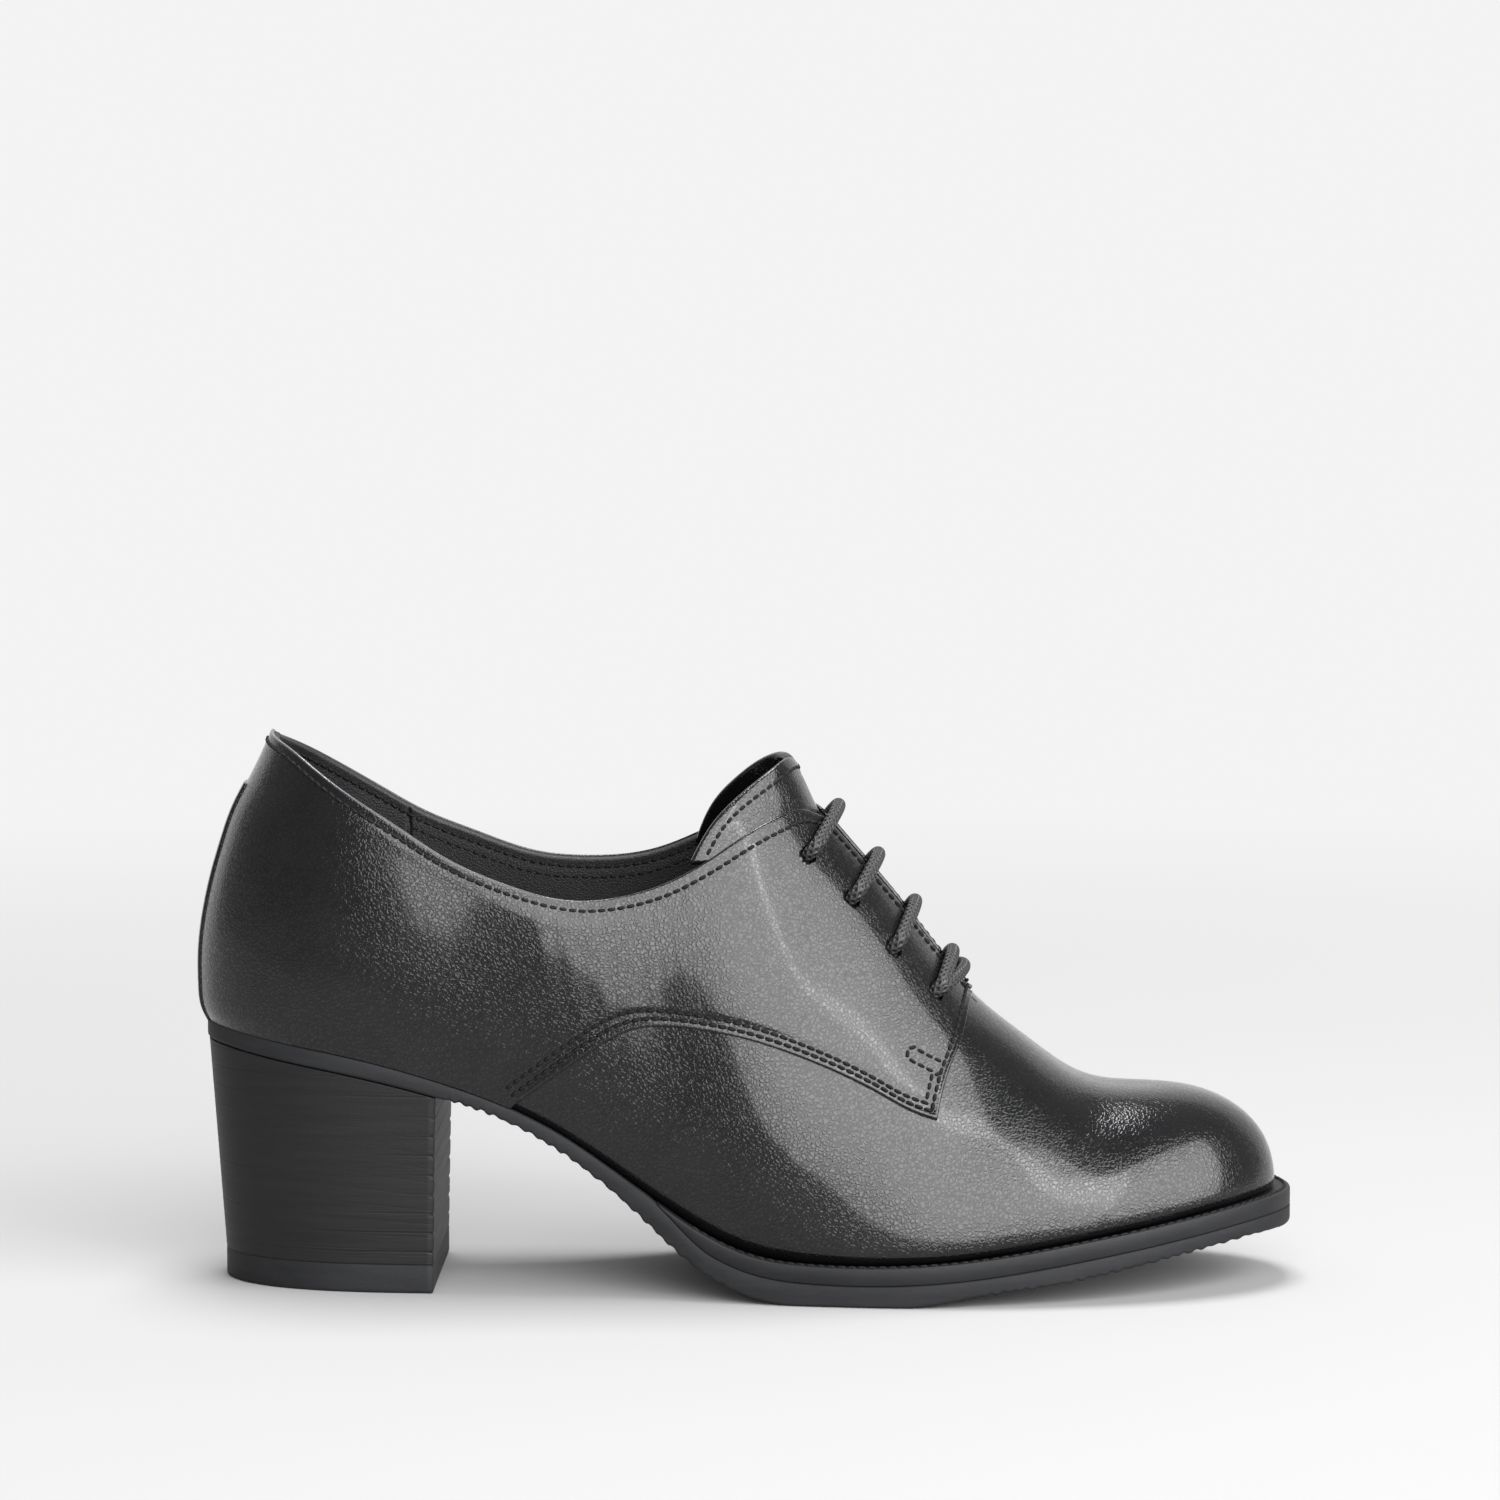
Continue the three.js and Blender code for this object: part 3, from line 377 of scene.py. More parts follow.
def facing_height(u, side):
    """The height at which the form is as wide as the gap between the facings."""
    spread = smooth(u, 0.55, 0.645)
    half = FACING_HALF_TOP + (FACING_HALF_END - FACING_HALF_TOP) * spread
    heights = np.linspace(0.55, 1.0, 181)
    middle = BALL_WIDTH * SECTION["swing"](u)[:, None]
    reach = np.abs(form(u[:, None], heights[None, :], side)[..., 1] - middle)
    first = np.argmax(reach < half[:, None], axis=1)
    last = np.maximum(first - 1, 0)
    row = np.arange(len(u))
    wide, near = reach[row, last], reach[row, first]
    share = (wide - half) / np.maximum(wide - near, 1e-6)
    return heights[last] + share * (heights[first] - heights[last])


LOWER_LINE = lower_line()
COLLAR = {OUTER: collar_line(COLLAR_OUTER), INNER: collar_line(COLLAR_INNER)}


def quarter_low(flat):
    """The quarter's lower edge: the sole's edge behind, the curved edge over the vamp ahead."""
    return np.where(flat > LOWER_LINE.places[0], np.clip(LOWER_LINE(flat), 0, 1), 0.0)


def quarter_high(flat, side):
    """The quarter's upper edge: the collar, and the facing from its rounded corner on."""
    facing = np.where(flat > FACING_START, facing_height(flat, side), 1.0)
    collar_end = COLLAR[side].places[-1]
    collar = COLLAR[side](flat) + np.clip(flat - collar_end, 0, 1) * 6.0
    return smooth_least(collar, facing, 0.06)


# Meshes

def grid_quads(rows, columns, start=0):
    """Quads of a grid of points that is stored row by row."""
    i, j = np.meshgrid(np.arange(rows - 1), np.arange(columns - 1), indexing="ij")
    a = (start + i * columns + j).ravel()
    return np.stack([a, a + columns, a + columns + 1, a + 1], -1)


def loop_quads(rows, columns, start=0):
    """Quads of a grid whose columns close into a loop."""
    i, j = np.meshgrid(np.arange(rows - 1), np.arange(columns), indexing="ij")
    a = (start + i * columns + j).ravel()
    b = (start + i * columns + (j + 1) % columns).ravel()
    return np.stack([a, a + columns, b + columns, b], -1)


def make_piece(name, points, quads, material, slot, nodes=(), values=None, merge=0.004, smooth_faces=True):
    """A mesh object from points in millimetres, with near points merged and faces turned out."""
    mesh = bpy.data.meshes.new(name)
    mesh.from_pydata((np.asarray(points).reshape(-1, 3) * MM).tolist(), [], np.asarray(quads).tolist())
    for key, value in (values or {}).items():
        layer_data = mesh.attributes.new(key, "FLOAT", "POINT")
        layer_data.data.foreach_set("value", np.asarray(value, np.float32).ravel())
    work = bmesh.new()
    work.from_mesh(mesh)
    bmesh.ops.remove_doubles(work, verts=work.verts, dist=merge * MM)
    bmesh.ops.dissolve_degenerate(work, edges=work.edges, dist=merge * MM * 0.1)
    bmesh.ops.recalc_face_normals(work, faces=work.faces)
    work.to_mesh(mesh)
    work.free()
    mesh.polygons.foreach_set("use_smooth", np.full(len(mesh.polygons), smooth_faces))
    mesh.materials.append(material)
    mesh.update()
    piece = bpy.data.objects.new(name, mesh)
    bpy.context.scene.collection.objects.link(piece)
    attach(piece, "root")
    if nodes:
        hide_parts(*nodes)
    return piece


def slab(outer, inner, rims):
    """Points and quads of a wall between two grids. rims names the sides that are closed:
    first and last row, first and last column."""
    rows, columns = outer.shape[:2]
    count = rows * columns
    points = np.concatenate([outer.reshape(-1, 3), inner.reshape(-1, 3)])
    quads = [grid_quads(rows, columns), grid_quads(rows, columns, count)[:, ::-1]]
    index = np.arange(count).reshape(rows, columns)
    sides = {
        "first_row": index[0], "last_row": index[-1][::-1],
        "first_column": index[:, 0][::-1], "last_column": index[:, -1],
    }
    for name in rims:
        line = sides[name]
        quads.append(np.stack([line[:-1], line[1:], line[1:] + count, line[:-1] + count], -1))
    return points, np.concatenate(quads)


def cut_holes(piece, places, directions, radius, depth, sides=28):
    """Round holes along the given directions, cut with a boolean that is applied at once."""
    cutters = bmesh.new()
    turn = np.linspace(0, 2 * np.pi, sides, endpoint=False)
    for place, direction in zip(places, directions):
        axis = Vector(direction).normalized()
        across = axis.orthogonal().normalized()
        other = axis.cross(across)
        rings = []
        for end in (-depth, depth):
            middle = Vector(place) + axis * end
            ring = [middle + (across * math.cos(t) + other * math.sin(t)) * radius for t in turn]
            rings.append([cutters.verts.new(point * MM) for point in ring])
        for k in range(sides):
            nxt = (k + 1) % sides
            cutters.faces.new((rings[0][k], rings[0][nxt], rings[1][nxt], rings[1][k]))
        cutters.faces.new(rings[0][::-1])
        cutters.faces.new(rings[1])
    mesh = bpy.data.meshes.new("hole_cutters")
    bmesh.ops.recalc_face_normals(cutters, faces=cutters.faces)
    cutters.to_mesh(mesh)
    cutters.free()
    tool = bpy.data.objects.new("hole_cutters", mesh)
    bpy.context.scene.collection.objects.link(tool)
    cut = piece.modifiers.new("holes", "BOOLEAN")
    cut.operation = "DIFFERENCE"
    cut.solver = "EXACT"
    cut.object = tool
    graph = bpy.context.evaluated_depsgraph_get()
    result = bpy.data.meshes.new_from_object(piece.evaluated_get(graph))
    result.name = piece.name
    old = piece.data
    piece.modifiers.clear()
    piece.data = result
    bpy.data.meshes.remove(old)
    bpy.data.objects.remove(tool)
    bpy.data.meshes.remove(mesh)


def spaced(points, pitch):
    """Points at even steps along a line, with the way along it at each."""
    steps = np.linalg.norm(np.diff(points, axis=0), axis=1)
    reach = np.concatenate([[0], np.cumsum(steps)])
    count = max(int(round(reach[-1] / pitch)), 1)
    middle = (np.arange(count) + 0.5) * reach[-1] / count
    place = np.stack([np.interp(middle, reach, points[:, k]) for k in range(3)], -1)
    near = np.stack([np.interp(middle + 0.2, reach, points[:, k]) for k in range(3)], -1)
    far = np.stack([np.interp(middle - 0.2, reach, points[:, k]) for k in range(3)], -1)
    run = near - far
    run /= np.maximum(np.linalg.norm(run, axis=1, keepdims=True), 1e-9)
    return place, run, middle, reach


def stitches(points, normals, pitch, width, height=0.5, length_share=0.92):
    """Short threads along a line. Each is a half-sunk rod: its middle stands at the given
    height and its ends bend down into the leather."""
    place, run, middle, reach = spaced(points, pitch)
    up = np.stack([np.interp(middle, reach, normals[:, k]) for k in range(3)], -1)
    up /= np.linalg.norm(up, axis=1, keepdims=True)
    across = np.cross(run, up)
    t = np.linspace(-1, 1, 6)
    turn = np.linspace(0, 2 * np.pi, 6, endpoint=False)
    half = pitch * length_share / 2
    rod = np.zeros((len(t), len(turn), 3))
    thick = width / 2 * np.sqrt(np.clip(1 - 0.72 * t**4, 0, 1))
    rod[..., 0] = (t * half)[:, None]
    rod[..., 1] = thick[:, None] * np.cos(turn)
    rod[..., 2] = thick[:, None] * np.sin(turn) * height / 0.5 + (0.12 - 0.42 * t**4)[:, None] * width
    rod = rod.reshape(-1, 3)
    body = (
        place[:, None] + rod[None, :, 0:1] * run[:, None] + rod[None, :, 1:2] * across[:, None]
        + rod[None, :, 2:3] * up[:, None]
    )
    tube = loop_quads(len(t), len(turn))
    shift = np.arange(len(place))[:, None, None] * len(rod)
    return body.reshape(-1, 3), (tube[None] + shift).reshape(-1, 4)


def joined(parts):
    """Several sets of points and quads as one."""
    points, quads, start = [], [], 0
    for part_points, part_quads in parts:
        points.append(part_points)
        quads.append(part_quads + start)
        start += len(part_points)
    return np.concatenate(points), np.concatenate(quads)


# Materials

class Socket:
    """A socket of a node tree that adds Math nodes for the expressions it is used in."""

    def __init__(self, tree, link):
        self.tree = tree
        self.link = link

    def math(self, operation, *values):
        return node(self.tree, "ShaderNodeMath", {"operation": operation}, dict(enumerate(values)))

    def __add__(self, other):
        return self.math("ADD", self, other)

    def __sub__(self, other):
        return self.math("SUBTRACT", self, other)

    def __rsub__(self, other):
        return self.math("SUBTRACT", other, self)

    def __mul__(self, other):
        return self.math("MULTIPLY", self, other)

    __radd__ = __add__
    __rmul__ = __mul__

    def sine(self):
        return self.math("SINE", self)

    def between(self, low, high):
        return node(self.tree, "ShaderNodeMapRange", {"interpolation_type": "SMOOTHSTEP"},
                    {0: self, 1: low, 2: high, 3: 0.0, 4: 1.0})


def node(tree, kind, settings, sockets, output=0):
    """A node of a type, with its settings and the values or links of its sockets."""
    made = tree.nodes.new(kind)
    for key, value in settings.items():
        setattr(made, key, value)
    for key, value in sockets.items():
        socket = made.inputs[key]
        if isinstance(value, Socket):
            tree.links.new(value.link, socket)
        else:
            socket.default_value = value
    return Socket(tree, made.outputs[output])


def new_material(name):
    """A material with one Principled shader."""
    material = bpy.data.materials.new(name)
    material.use_nodes = True
    tree = material.node_tree
    return material, tree, tree.nodes["Principled BSDF"]


def place_of(tree, scale=(1.0, 1.0, 1.0)):
    """Object coordinates through a Mapping node."""
    where = node(tree, "ShaderNodeTexCoord", {}, {}, "Object")
    return node(tree, "ShaderNodeMapping", {}, {"Vector": where, "Scale": scale})


def noise(tree, place, scale, detail=3.0, rough=0.55):
    return node(tree, "ShaderNodeTexNoise", {},
                {"Vector": place, "Scale": scale, "Detail": detail, "Roughness": rough})


def cells(tree, place, scale):
    """The distance to the nearest edge between cells."""
    return node(tree, "ShaderNodeTexVoronoi", {"feature": "DISTANCE_TO_EDGE"},
                {"Vector": place, "Scale": scale})


def attribute(tree, name):
    """A number that the mesh carries at each point."""
    return node(tree, "ShaderNodeAttribute", {"attribute_name": name}, {}, "Fac")


def bump(tree, height, strength, distance, normal=None):
    sockets = {"Height": height, "Strength": strength, "Distance": distance}
    if normal is not None:
        sockets["Normal"] = normal
    return node(tree, "ShaderNodeBump", {}, sockets)


def mixed(tree, factor, first, second):
    """A colour between two colours."""
    return node(tree, "ShaderNodeMix", {"data_type": "RGBA"},
                {0: factor, 6: first, 7: second}, 2)


def rgba(colour, factor=1.0):
    return (colour[0] * factor, colour[1] * factor, colour[2] * factor, 1.0)


def put(tree, shader, name, value):
    if isinstance(value, Socket):
        tree.links.new(value.link, shader.inputs[name])
    else:
        shader.inputs[name].default_value = value


# Leather: strength of the grain, roughness of hide and finish, share and spread of the
# finish, and how much lighter the painted highlight along the folded edge is than the hide
LEATHER_GRAIN = 0.27
LEATHER_ROUGH = 0.11
FINISH_ROUGH = 0.09
FINISH_LEAST = 0.16
FINISH_SPREAD = 0.36
LEATHER_SPECULAR = 0.28
PAINTED_FOLD_HIGHLIGHT = 26.0
# How far the grain's cells are pulled out of shape, in metres
WARP = 0.0011


def leather_material(name, colour, pitch):
    """Smooth polished leather: worm-like grain from warped cells under a thin finish, which is worn
    off a little between the grains, and a painted highlight along the folded edge."""
    material, tree, shader = new_material(name)
    place = place_of(tree)
    drift = noise(tree, place, 90.0, 2.0)
    swirl = node(tree, "ShaderNodeTexNoise", {}, {"Vector": place, "Scale": 700.0, "Detail": 1.0}, 1)
    warped = node(tree, "ShaderNodeVectorMath", {"operation": "MULTIPLY_ADD"},
                  {0: swirl, 1: (WARP, WARP, WARP), 2: place})
    worms = cells(tree, warped, 1.0 / (pitch * 1.25)).between(0.0, 0.34)
    fine = noise(tree, place, 1.0 / (pitch * 0.55), 2.0, 0.5)
    patch = noise(tree, place, 26.0, 3.0, 0.5).between(0.35, 0.68)
    height = worms * (0.55 + patch * 0.45) + fine * 0.45
    broad = bump(tree, noise(tree, place, 60.0, 2.0, 0.5), 0.25, 0.0006)
    relief = bump(tree, height, LEATHER_GRAIN, 0.00022, broad)
    edge = attribute(tree, "edge")
    worn = (worms * 0.75 + fine.between(0.3, 0.7) * 0.5).between(0.1, 1.1)
    put(tree, shader, "Normal", relief)
    dyed = mixed(tree, drift.between(0.3, 0.7), rgba(colour, 0.8), rgba(colour, 1.25))
    # Painted highlight: the edge attribute lightens the base colour along the folded edge.
    put(tree, shader, "Base Color", mixed(tree, edge, dyed, rgba(colour, PAINTED_FOLD_HIGHLIGHT)))
    put(tree, shader, "Roughness", LEATHER_ROUGH + patch * 0.03 + (1.0 - worn) * 0.05)
    put(tree, shader, "Specular IOR Level", LEATHER_SPECULAR)
    put(tree, shader, "Coat Weight", worn * FINISH_SPREAD + FINISH_LEAST)
    put(tree, shader, "Coat Roughness", FINISH_ROUGH)
    return material


def lining_material(name, colour):
    """Matt lining leather with fine pores."""
    material, tree, shader = new_material(name)
    place = place_of(tree)
    pores = cells(tree, place, 1500.0)
    soft = noise(tree, place, 140.0, 3.0)
    put(tree, shader, "Normal", bump(tree, pores.between(0.0, 0.3) + soft, 0.35, 0.00015))
    put(tree, shader, "Base Color", mixed(tree, soft, rgba(colour, 0.7), rgba(colour, 1.3)))
    put(tree, shader, "Roughness", soft * 0.12 + 0.5)
    return material


def thread_material(name, colour):
    """Waxed thread: two plies twisted along it, its colour darker in the grooves between the plies, a
    painted shade.
    """
    material, tree, shader = new_material(name)
    place = place_of(tree)
    ply = node(tree, "ShaderNodeTexWave", {"wave_type": "BANDS", "bands_direction": "DIAGONAL"},
               {"Vector": place, "Scale": 900.0, "Distortion": 1.5})
    put(tree, shader, "Normal", bump(tree, ply, 0.5, 0.0001))
    # Painted shade: the base colour darkens in the grooves between the plies.
    put(tree, shader, "Base Color", mixed(tree, ply, rgba(colour, 0.4), rgba(colour, 1.2)))
    put(tree, shader, "Roughness", ply * 0.1 + 0.6)
    put(tree, shader, "Specular IOR Level", 0.2)
    return material


def braid_material(name, colour):
    """Waxed braid: strands that run both ways round the lace, from its own coordinates. Its colour
    is darker between the strands and lighter on their crowns: painted shade and painted highlight.
    """
    material, tree, shader = new_material(name)
    turn = attribute(tree, "turn")
    run = attribute(tree, "run")
    right = (turn * float(BRAID_STRANDS) + run * BRAID_TWIST).sine()
    left = (turn * float(BRAID_STRANDS) - run * BRAID_TWIST).sine()
    strands = right.math("MAXIMUM", right, left)
    fibre = noise(tree, place_of(tree), 2600.0, 2.0)
    put(tree, shader, "Normal", bump(tree, strands * 0.8 + fibre * 0.25, 0.6, 0.00025))
    # Painted shade and highlight: the base colour darkens in the grooves between strands and lightens on
    # their crowns.
    tone = mixed(tree, strands.between(-0.2, 0.9), rgba(colour, 0.35), rgba(colour, 2.4))
    put(tree, shader, "Base Color", tone)
    put(tree, shader, "Roughness", fibre * 0.15 + 0.42)
    return material


def sole_material(name, colour, rough, lines, nodes_scale=1.0):
    """A trimmed sole edge: matt finish with faint lines along it, specks and scuffs."""
    material, tree, shader = new_material(name)
    place = place_of(tree)
    streak = noise(tree, place_of(tree, (0.12, 0.5, 1.0)), lines, 4.0, 0.65)
    speck = noise(tree, place, 900.0 * nodes_scale, 2.0, 0.6)
    scuff = noise(tree, place, 45.0, 3.0, 0.6).between(0.4, 0.75)
    put(tree, shader, "Normal", bump(tree, streak * 0.9 + speck * 0.35, 0.4, 0.0003))
    tone = mixed(tree, streak.between(0.3, 0.7), rgba(colour, 0.75), rgba(colour, 1.2))
    put(tree, shader, "Base Color", mixed(tree, scuff * 0.35, tone, rgba(colour, 1.6)))
    put(tree, shader, "Roughness", speck * 0.12 + scuff * 0.06 + rough)
    put(tree, shader, "Specular IOR Level", 0.22)
    return material


HEEL_LAYER = 4.4
HEEL_FINE_LAYER = 1.47


def heel_material(name, colour):
    """Stacked layers: thin dark lines at each layer's joint, and a wipe of dye along them."""
    material, tree, shader = new_material(name)
    where = node(tree, "ShaderNodeSeparateXYZ", {},
                 {0: node(tree, "ShaderNodeTexCoord", {}, {}, "Object")}, 2)
    wobble = noise(tree, place_of(tree, (1.0, 1.0, 3.0)), 30.0, 3.0)
    level = where * (1 / MM) + wobble * 0.9
    joint = (level * (2 * math.pi / HEEL_LAYER)).sine().between(0.93, 1.0)
    thin = (level * (2 * math.pi / HEEL_FINE_LAYER) + 0.7).sine().between(0.95, 1.0)
    streak = noise(tree, place_of(tree, (0.08, 0.08, 1.6)), 420.0, 4.0, 0.65)
    speck = noise(tree, place_of(tree), 1500.0, 2.0)
    patchy = noise(tree, place_of(tree, (1.0, 1.0, 2.0)), 18.0, 2.0).between(0.35, 0.7)
    line = joint * patchy + thin * 0.35 * patchy
    put(tree, shader, "Normal", bump(tree, streak * 0.8 + speck * 0.2 - line * 1.2, 0.35, 0.0003))
    tone = mixed(tree, streak.between(0.3, 0.75), rgba(colour, 0.85), rgba(colour, 1.2))
    put(tree, shader, "Base Color", mixed(tree, line * 0.7, tone, rgba(colour, 0.35)))
    put(tree, shader, "Roughness", streak * 0.14 + 0.46)
    put(tree, shader, "Specular IOR Level", 0.22)
    return material


def floor_material(name, colour):
    """A pale floor. Close to the shoe the lights alone light it, and its shadow shows. Further
    away it passes over to a plain tone of its own, and past the picture's front it darkens a
    little, so that the leather mirrors less of it."""
    material, tree, shader = new_material(name)
    place = node(tree, "ShaderNodeTexCoord", {}, {}, "Object")
    away = node(tree, "ShaderNodeVectorMath", {"operation": "DISTANCE"}, {0: place, 1: FLOOR_MIDDLE}, 1)
    glow = away.between(*FLOOR_GLOW)
    depth = node(tree, "ShaderNodeSeparateXYZ", {}, {0: place}, 1)
    near = (depth * -1.0).between(*FLOOR_FRONT) * FLOOR_FRONT_DARK
    black = (0.0, 0.0, 0.0, 1.0)
    lit = mixed(tree, near, rgba(colour), black)
    tone = mixed(tree, near, (FLOOR_TONE,) * 3 + (1.0,), black)
    put(tree, shader, "Base Color", mixed(tree, glow, lit, black))
    put(tree, shader, "Roughness", 1.0)
    put(tree, shader, "Specular IOR Level", 0.0)
    put(tree, shader, "Emission Color", mixed(tree, glow, black, tone))
    put(tree, shader, "Emission Strength", 1.0)
    return material


def finishes():
    """All materials of the shoe, made once."""
    if "finish_leather" in bpy.data.materials:
        return {key: bpy.data.materials["finish_" + key] for key in FINISH_NAMES}
    colours = bpy.context.scene.shoe_colours
    sizes = bpy.context.scene.shoe_sizes
    pitch = sizes.grain_pitch * MM
    return {
        "leather": leather_material("finish_leather", colours.leather, pitch),
        "lining": lining_material("finish_lining", colours.lining),
        "thread": thread_material("finish_thread", colours.thread),
        "lace": braid_material("finish_lace", colours.lace),
        "sole_edge": sole_material("finish_sole_edge", colours.sole_edge, 0.48, 160.0),
        "rubber": sole_material("finish_rubber", colours.sole_edge, 0.56, 260.0, 1.4),
        "heel": heel_material("finish_heel", colours.heel),
    }


FINISH_NAMES = ("leather", "lining", "thread", "lace", "sole_edge", "rubber", "heel")


# Leather pieces

def edge_drop(distance, radius):
    """How far a rounded edge falls: a quarter circle over the last radius before the edge."""
    inward = np.clip(distance, 0, radius)
    return radius - np.sqrt(np.clip(radius**2 - (radius - inward) ** 2, 0, None))


def seam_dent(distance, place, deep=0.24, wide=0.55):
    """A soft trough along a sewn line."""
    return -deep * np.exp(-(((distance - place) / wide) ** 2))


EDGE_STEPS = np.array([0.0, 0.06, 0.16, 0.32, 0.6, 1.0, 1.6, 2.3, 3.0, 3.8])
FRONT_SPEED = 345.0
LOWER_ROWS = (1.5, 3.0)
FRONT_ROWS = (1.4, 2.9)
COLLAR_ROW = 2.1
COLLAR_DENT = 0.13
QUARTER_ROUND = 0.42
NO_EDGE = 9.0
HOLE_REACH = 3.0
# The painted highlight along the folded edge, a lighter line: its middle and width, the station where it
# ends
FOLD_MIDDLE = 0.1
FOLD_WIDTH = 0.22
FOLD_END = 0.43
FOLD_FADE = 0.08


def quarter_grid(side):
    """The quarter's stations and heights, with rows and columns close together at its edges,
    and each point's distance from the lower, front and upper edges."""
    flat = np.concatenate([
        np.linspace(0, END_U - EDGE_STEPS[-1] / FRONT_SPEED, 300, endpoint=False),
        END_U - EDGE_STEPS[::-1] / FRONT_SPEED,
    ])
    low = quarter_low(flat)
    high = quarter_high(flat, side)
    low_speed = np.linalg.norm(up_step(skew(flat, low), low, side), axis=-1)
    high_speed = np.linalg.norm(up_step(skew(flat, high), high, side), axis=-1)
    low_rows = low[:, None] + EDGE_STEPS / low_speed[:, None]
    high_rows = high[:, None] - EDGE_STEPS[::-1] / high_speed[:, None]
    share = np.linspace(0, 1, 72)[1:-1]
    middle = low_rows[:, -1:] + (high_rows[:, :1] - low_rows[:, -1:]) * share
    h = np.concatenate([low_rows, middle, high_rows], 1)
    flat = np.broadcast_to(flat[:, None], h.shape)
    u = skew(flat, h)
    reach = np.concatenate([np.zeros((h.shape[0], 1)),
                            np.cumsum(np.linalg.norm(np.diff(form(u, h, side), axis=1), axis=-1), 1)], 1)
    run = np.linalg.norm(along_step(u, h, side), axis=-1)
    low_slope = np.gradient(low, flat[:, 0])[:, None] * low_speed[:, None] / run[:, :1]
    high_slope = np.gradient(high, flat[:, 0])[:, None] * high_speed[:, None] / run[:, -1:]
    from_low = reach / np.sqrt(1 + low_slope**2)
    from_high = (reach[:, -1:] - reach) / np.sqrt(1 + np.clip(high_slope, -3, 3) ** 2)
    from_front = (END_U - flat) * run
    return {"u": u, "h": h, "flat": flat, "low": from_low, "high": from_high, "front": from_front}


def dent(x, z, at_x, at_z, wide, tall, deep, turn=0.0):
    """A soft oval hollow or swelling on the side, seen from the side."""
    across = (x - at_x) * math.cos(turn) + (z - at_z) * math.sin(turn)
    up = -(x - at_x) * math.sin(turn) + (z - at_z) * math.cos(turn)
    return deep * np.exp(-((across / wide) ** 2) - (up / tall) ** 2)


# The leather's own unevenness as soft ovals on the side: middle, half width and half height
# in the plane of X and Z, how far it swells, and its turn
RELIEF = (
    (53, 86, 13, 20, 0.75, 0.15),
    (30, 84, 14, 22, -0.25, 0.2),
    (78, 58, 9, 16, -0.22, 0.5),
    (92, 78, 16, 16, 0.25, 0.0),
    (118, 66, 14, 9, -0.16, -0.5),
    (112, 34, 12, 9, 0.20, 0.5),
    (136, 30, 12, 10, -0.22, 0.3),
    (150, 52, 9, 12, 0.14, 0.5),
)
# Ripples: middle of the patch, its half width and half height, height and pitch of a ripple
RIPPLES = (
    (60, 74, 12, 20, 0.030, 6.0),
    (70, 82, 14, 12, 0.014, 3.6),
    (104, 34, 18, 10, 0.012, 4.4),
)


def body_relief(points):
    """Soft hollows over the waist, swellings at the counter and the ball, and shallow ripples
    where the side bends in."""
    x, z = points[..., 0], points[..., 2]
    relief = np.zeros(x.shape)
    for row in RELIEF:
        relief += dent(x, z, *row)
    for at_x, at_z, wide, tall, deep, pitch in RIPPLES:
        wave = np.sin(2 * np.pi * (x + 0.22 * z + 1.4 * np.sin(z * 0.11) + 0.6 * np.sin(z * 0.31)) / pitch)
        relief += wave * dent(x, z, at_x, at_z, wide, tall, deep)
    return relief


def eyelet_places(side):
    """The eyelets' middles and outward directions on one side."""
    u, h = on_form([row[:2] for row in LACE_ROWS])
    return u, h, form(u, h, side), outward(u, h, side)


def quarter_piece(side, name):
    """A quarter: a thin slab with rounded edges, sewn troughs and its eyelets."""
    grid = quarter_grid(side)
    u, h = grid["u"], grid["h"]
    base = form(u, h, side)
    on_sole = grid["flat"] < LOWER_LINE.places[0] + 0.001
    free_low = np.where(on_sole, NO_EDGE, grid["low"])
    edge = np.minimum(np.minimum(free_low, grid["high"]), np.maximum(grid["front"], 0))
    level = QUARTER_LEVEL - edge_drop(edge, QUARTER_ROUND) + body_relief(base) * smooth(edge, 0.5, 6.0)
    for place in LOWER_ROWS:
        level += seam_dent(free_low, place) * smooth(grid["front"], 0.6, 1.6)
    level += seam_dent(grid["front"], FRONT_ROWS[0]) * smooth(free_low, 0.6, 1.6)
    level += seam_dent(grid["high"], COLLAR_ROW, COLLAR_DENT)
    normal = outward(u, h, side)
    outer = base + normal * level[..., None]
    inner = base + normal * (QUARTER_UNDER + edge_drop(edge, 0.3) * 0.4)[..., None]
    points, quads = slab(outer, inner, ("first_column", "last_column", "last_row"))
    # Painted highlight: a lighter line along the folded collar edge, carried in the edge attribute.
    painted_fold_highlight = np.exp(-(((grid["high"] - FOLD_MIDDLE) / FOLD_WIDTH) ** 2)).ravel()
    painted_fold_highlight *= smooth(FOLD_END - grid["flat"], 0.0, FOLD_FADE).ravel()
    values = {"edge": np.concatenate([painted_fold_highlight, painted_fold_highlight * 0.4])}
    piece = make_piece(name, points, quads, finishes()["leather"], "upper", ("upper",), values,
                       merge=0.02)
    _, _, places, ways = eyelet_places(side)
    cut_holes(piece, places, ways, bpy.context.scene.shoe_sizes.eyelet_width / 2, HOLE_REACH)
    piece.data.polygons.foreach_set("use_smooth", np.ones(len(piece.data.polygons), bool))
    return piece


# The lining: rows of stitches below its top, its seam, the stations that lie close there, how
# far its top stands below the quarter's, and the size of its seam's dent and lap
LINING_ROWS = (2.0, 4.4)
LINING_SEAM_X = 16.0
LINING_SEAM_STATIONS = (0.262, 0.302)
LINING_DROP = 0.25
LINING_LAP = 0.3


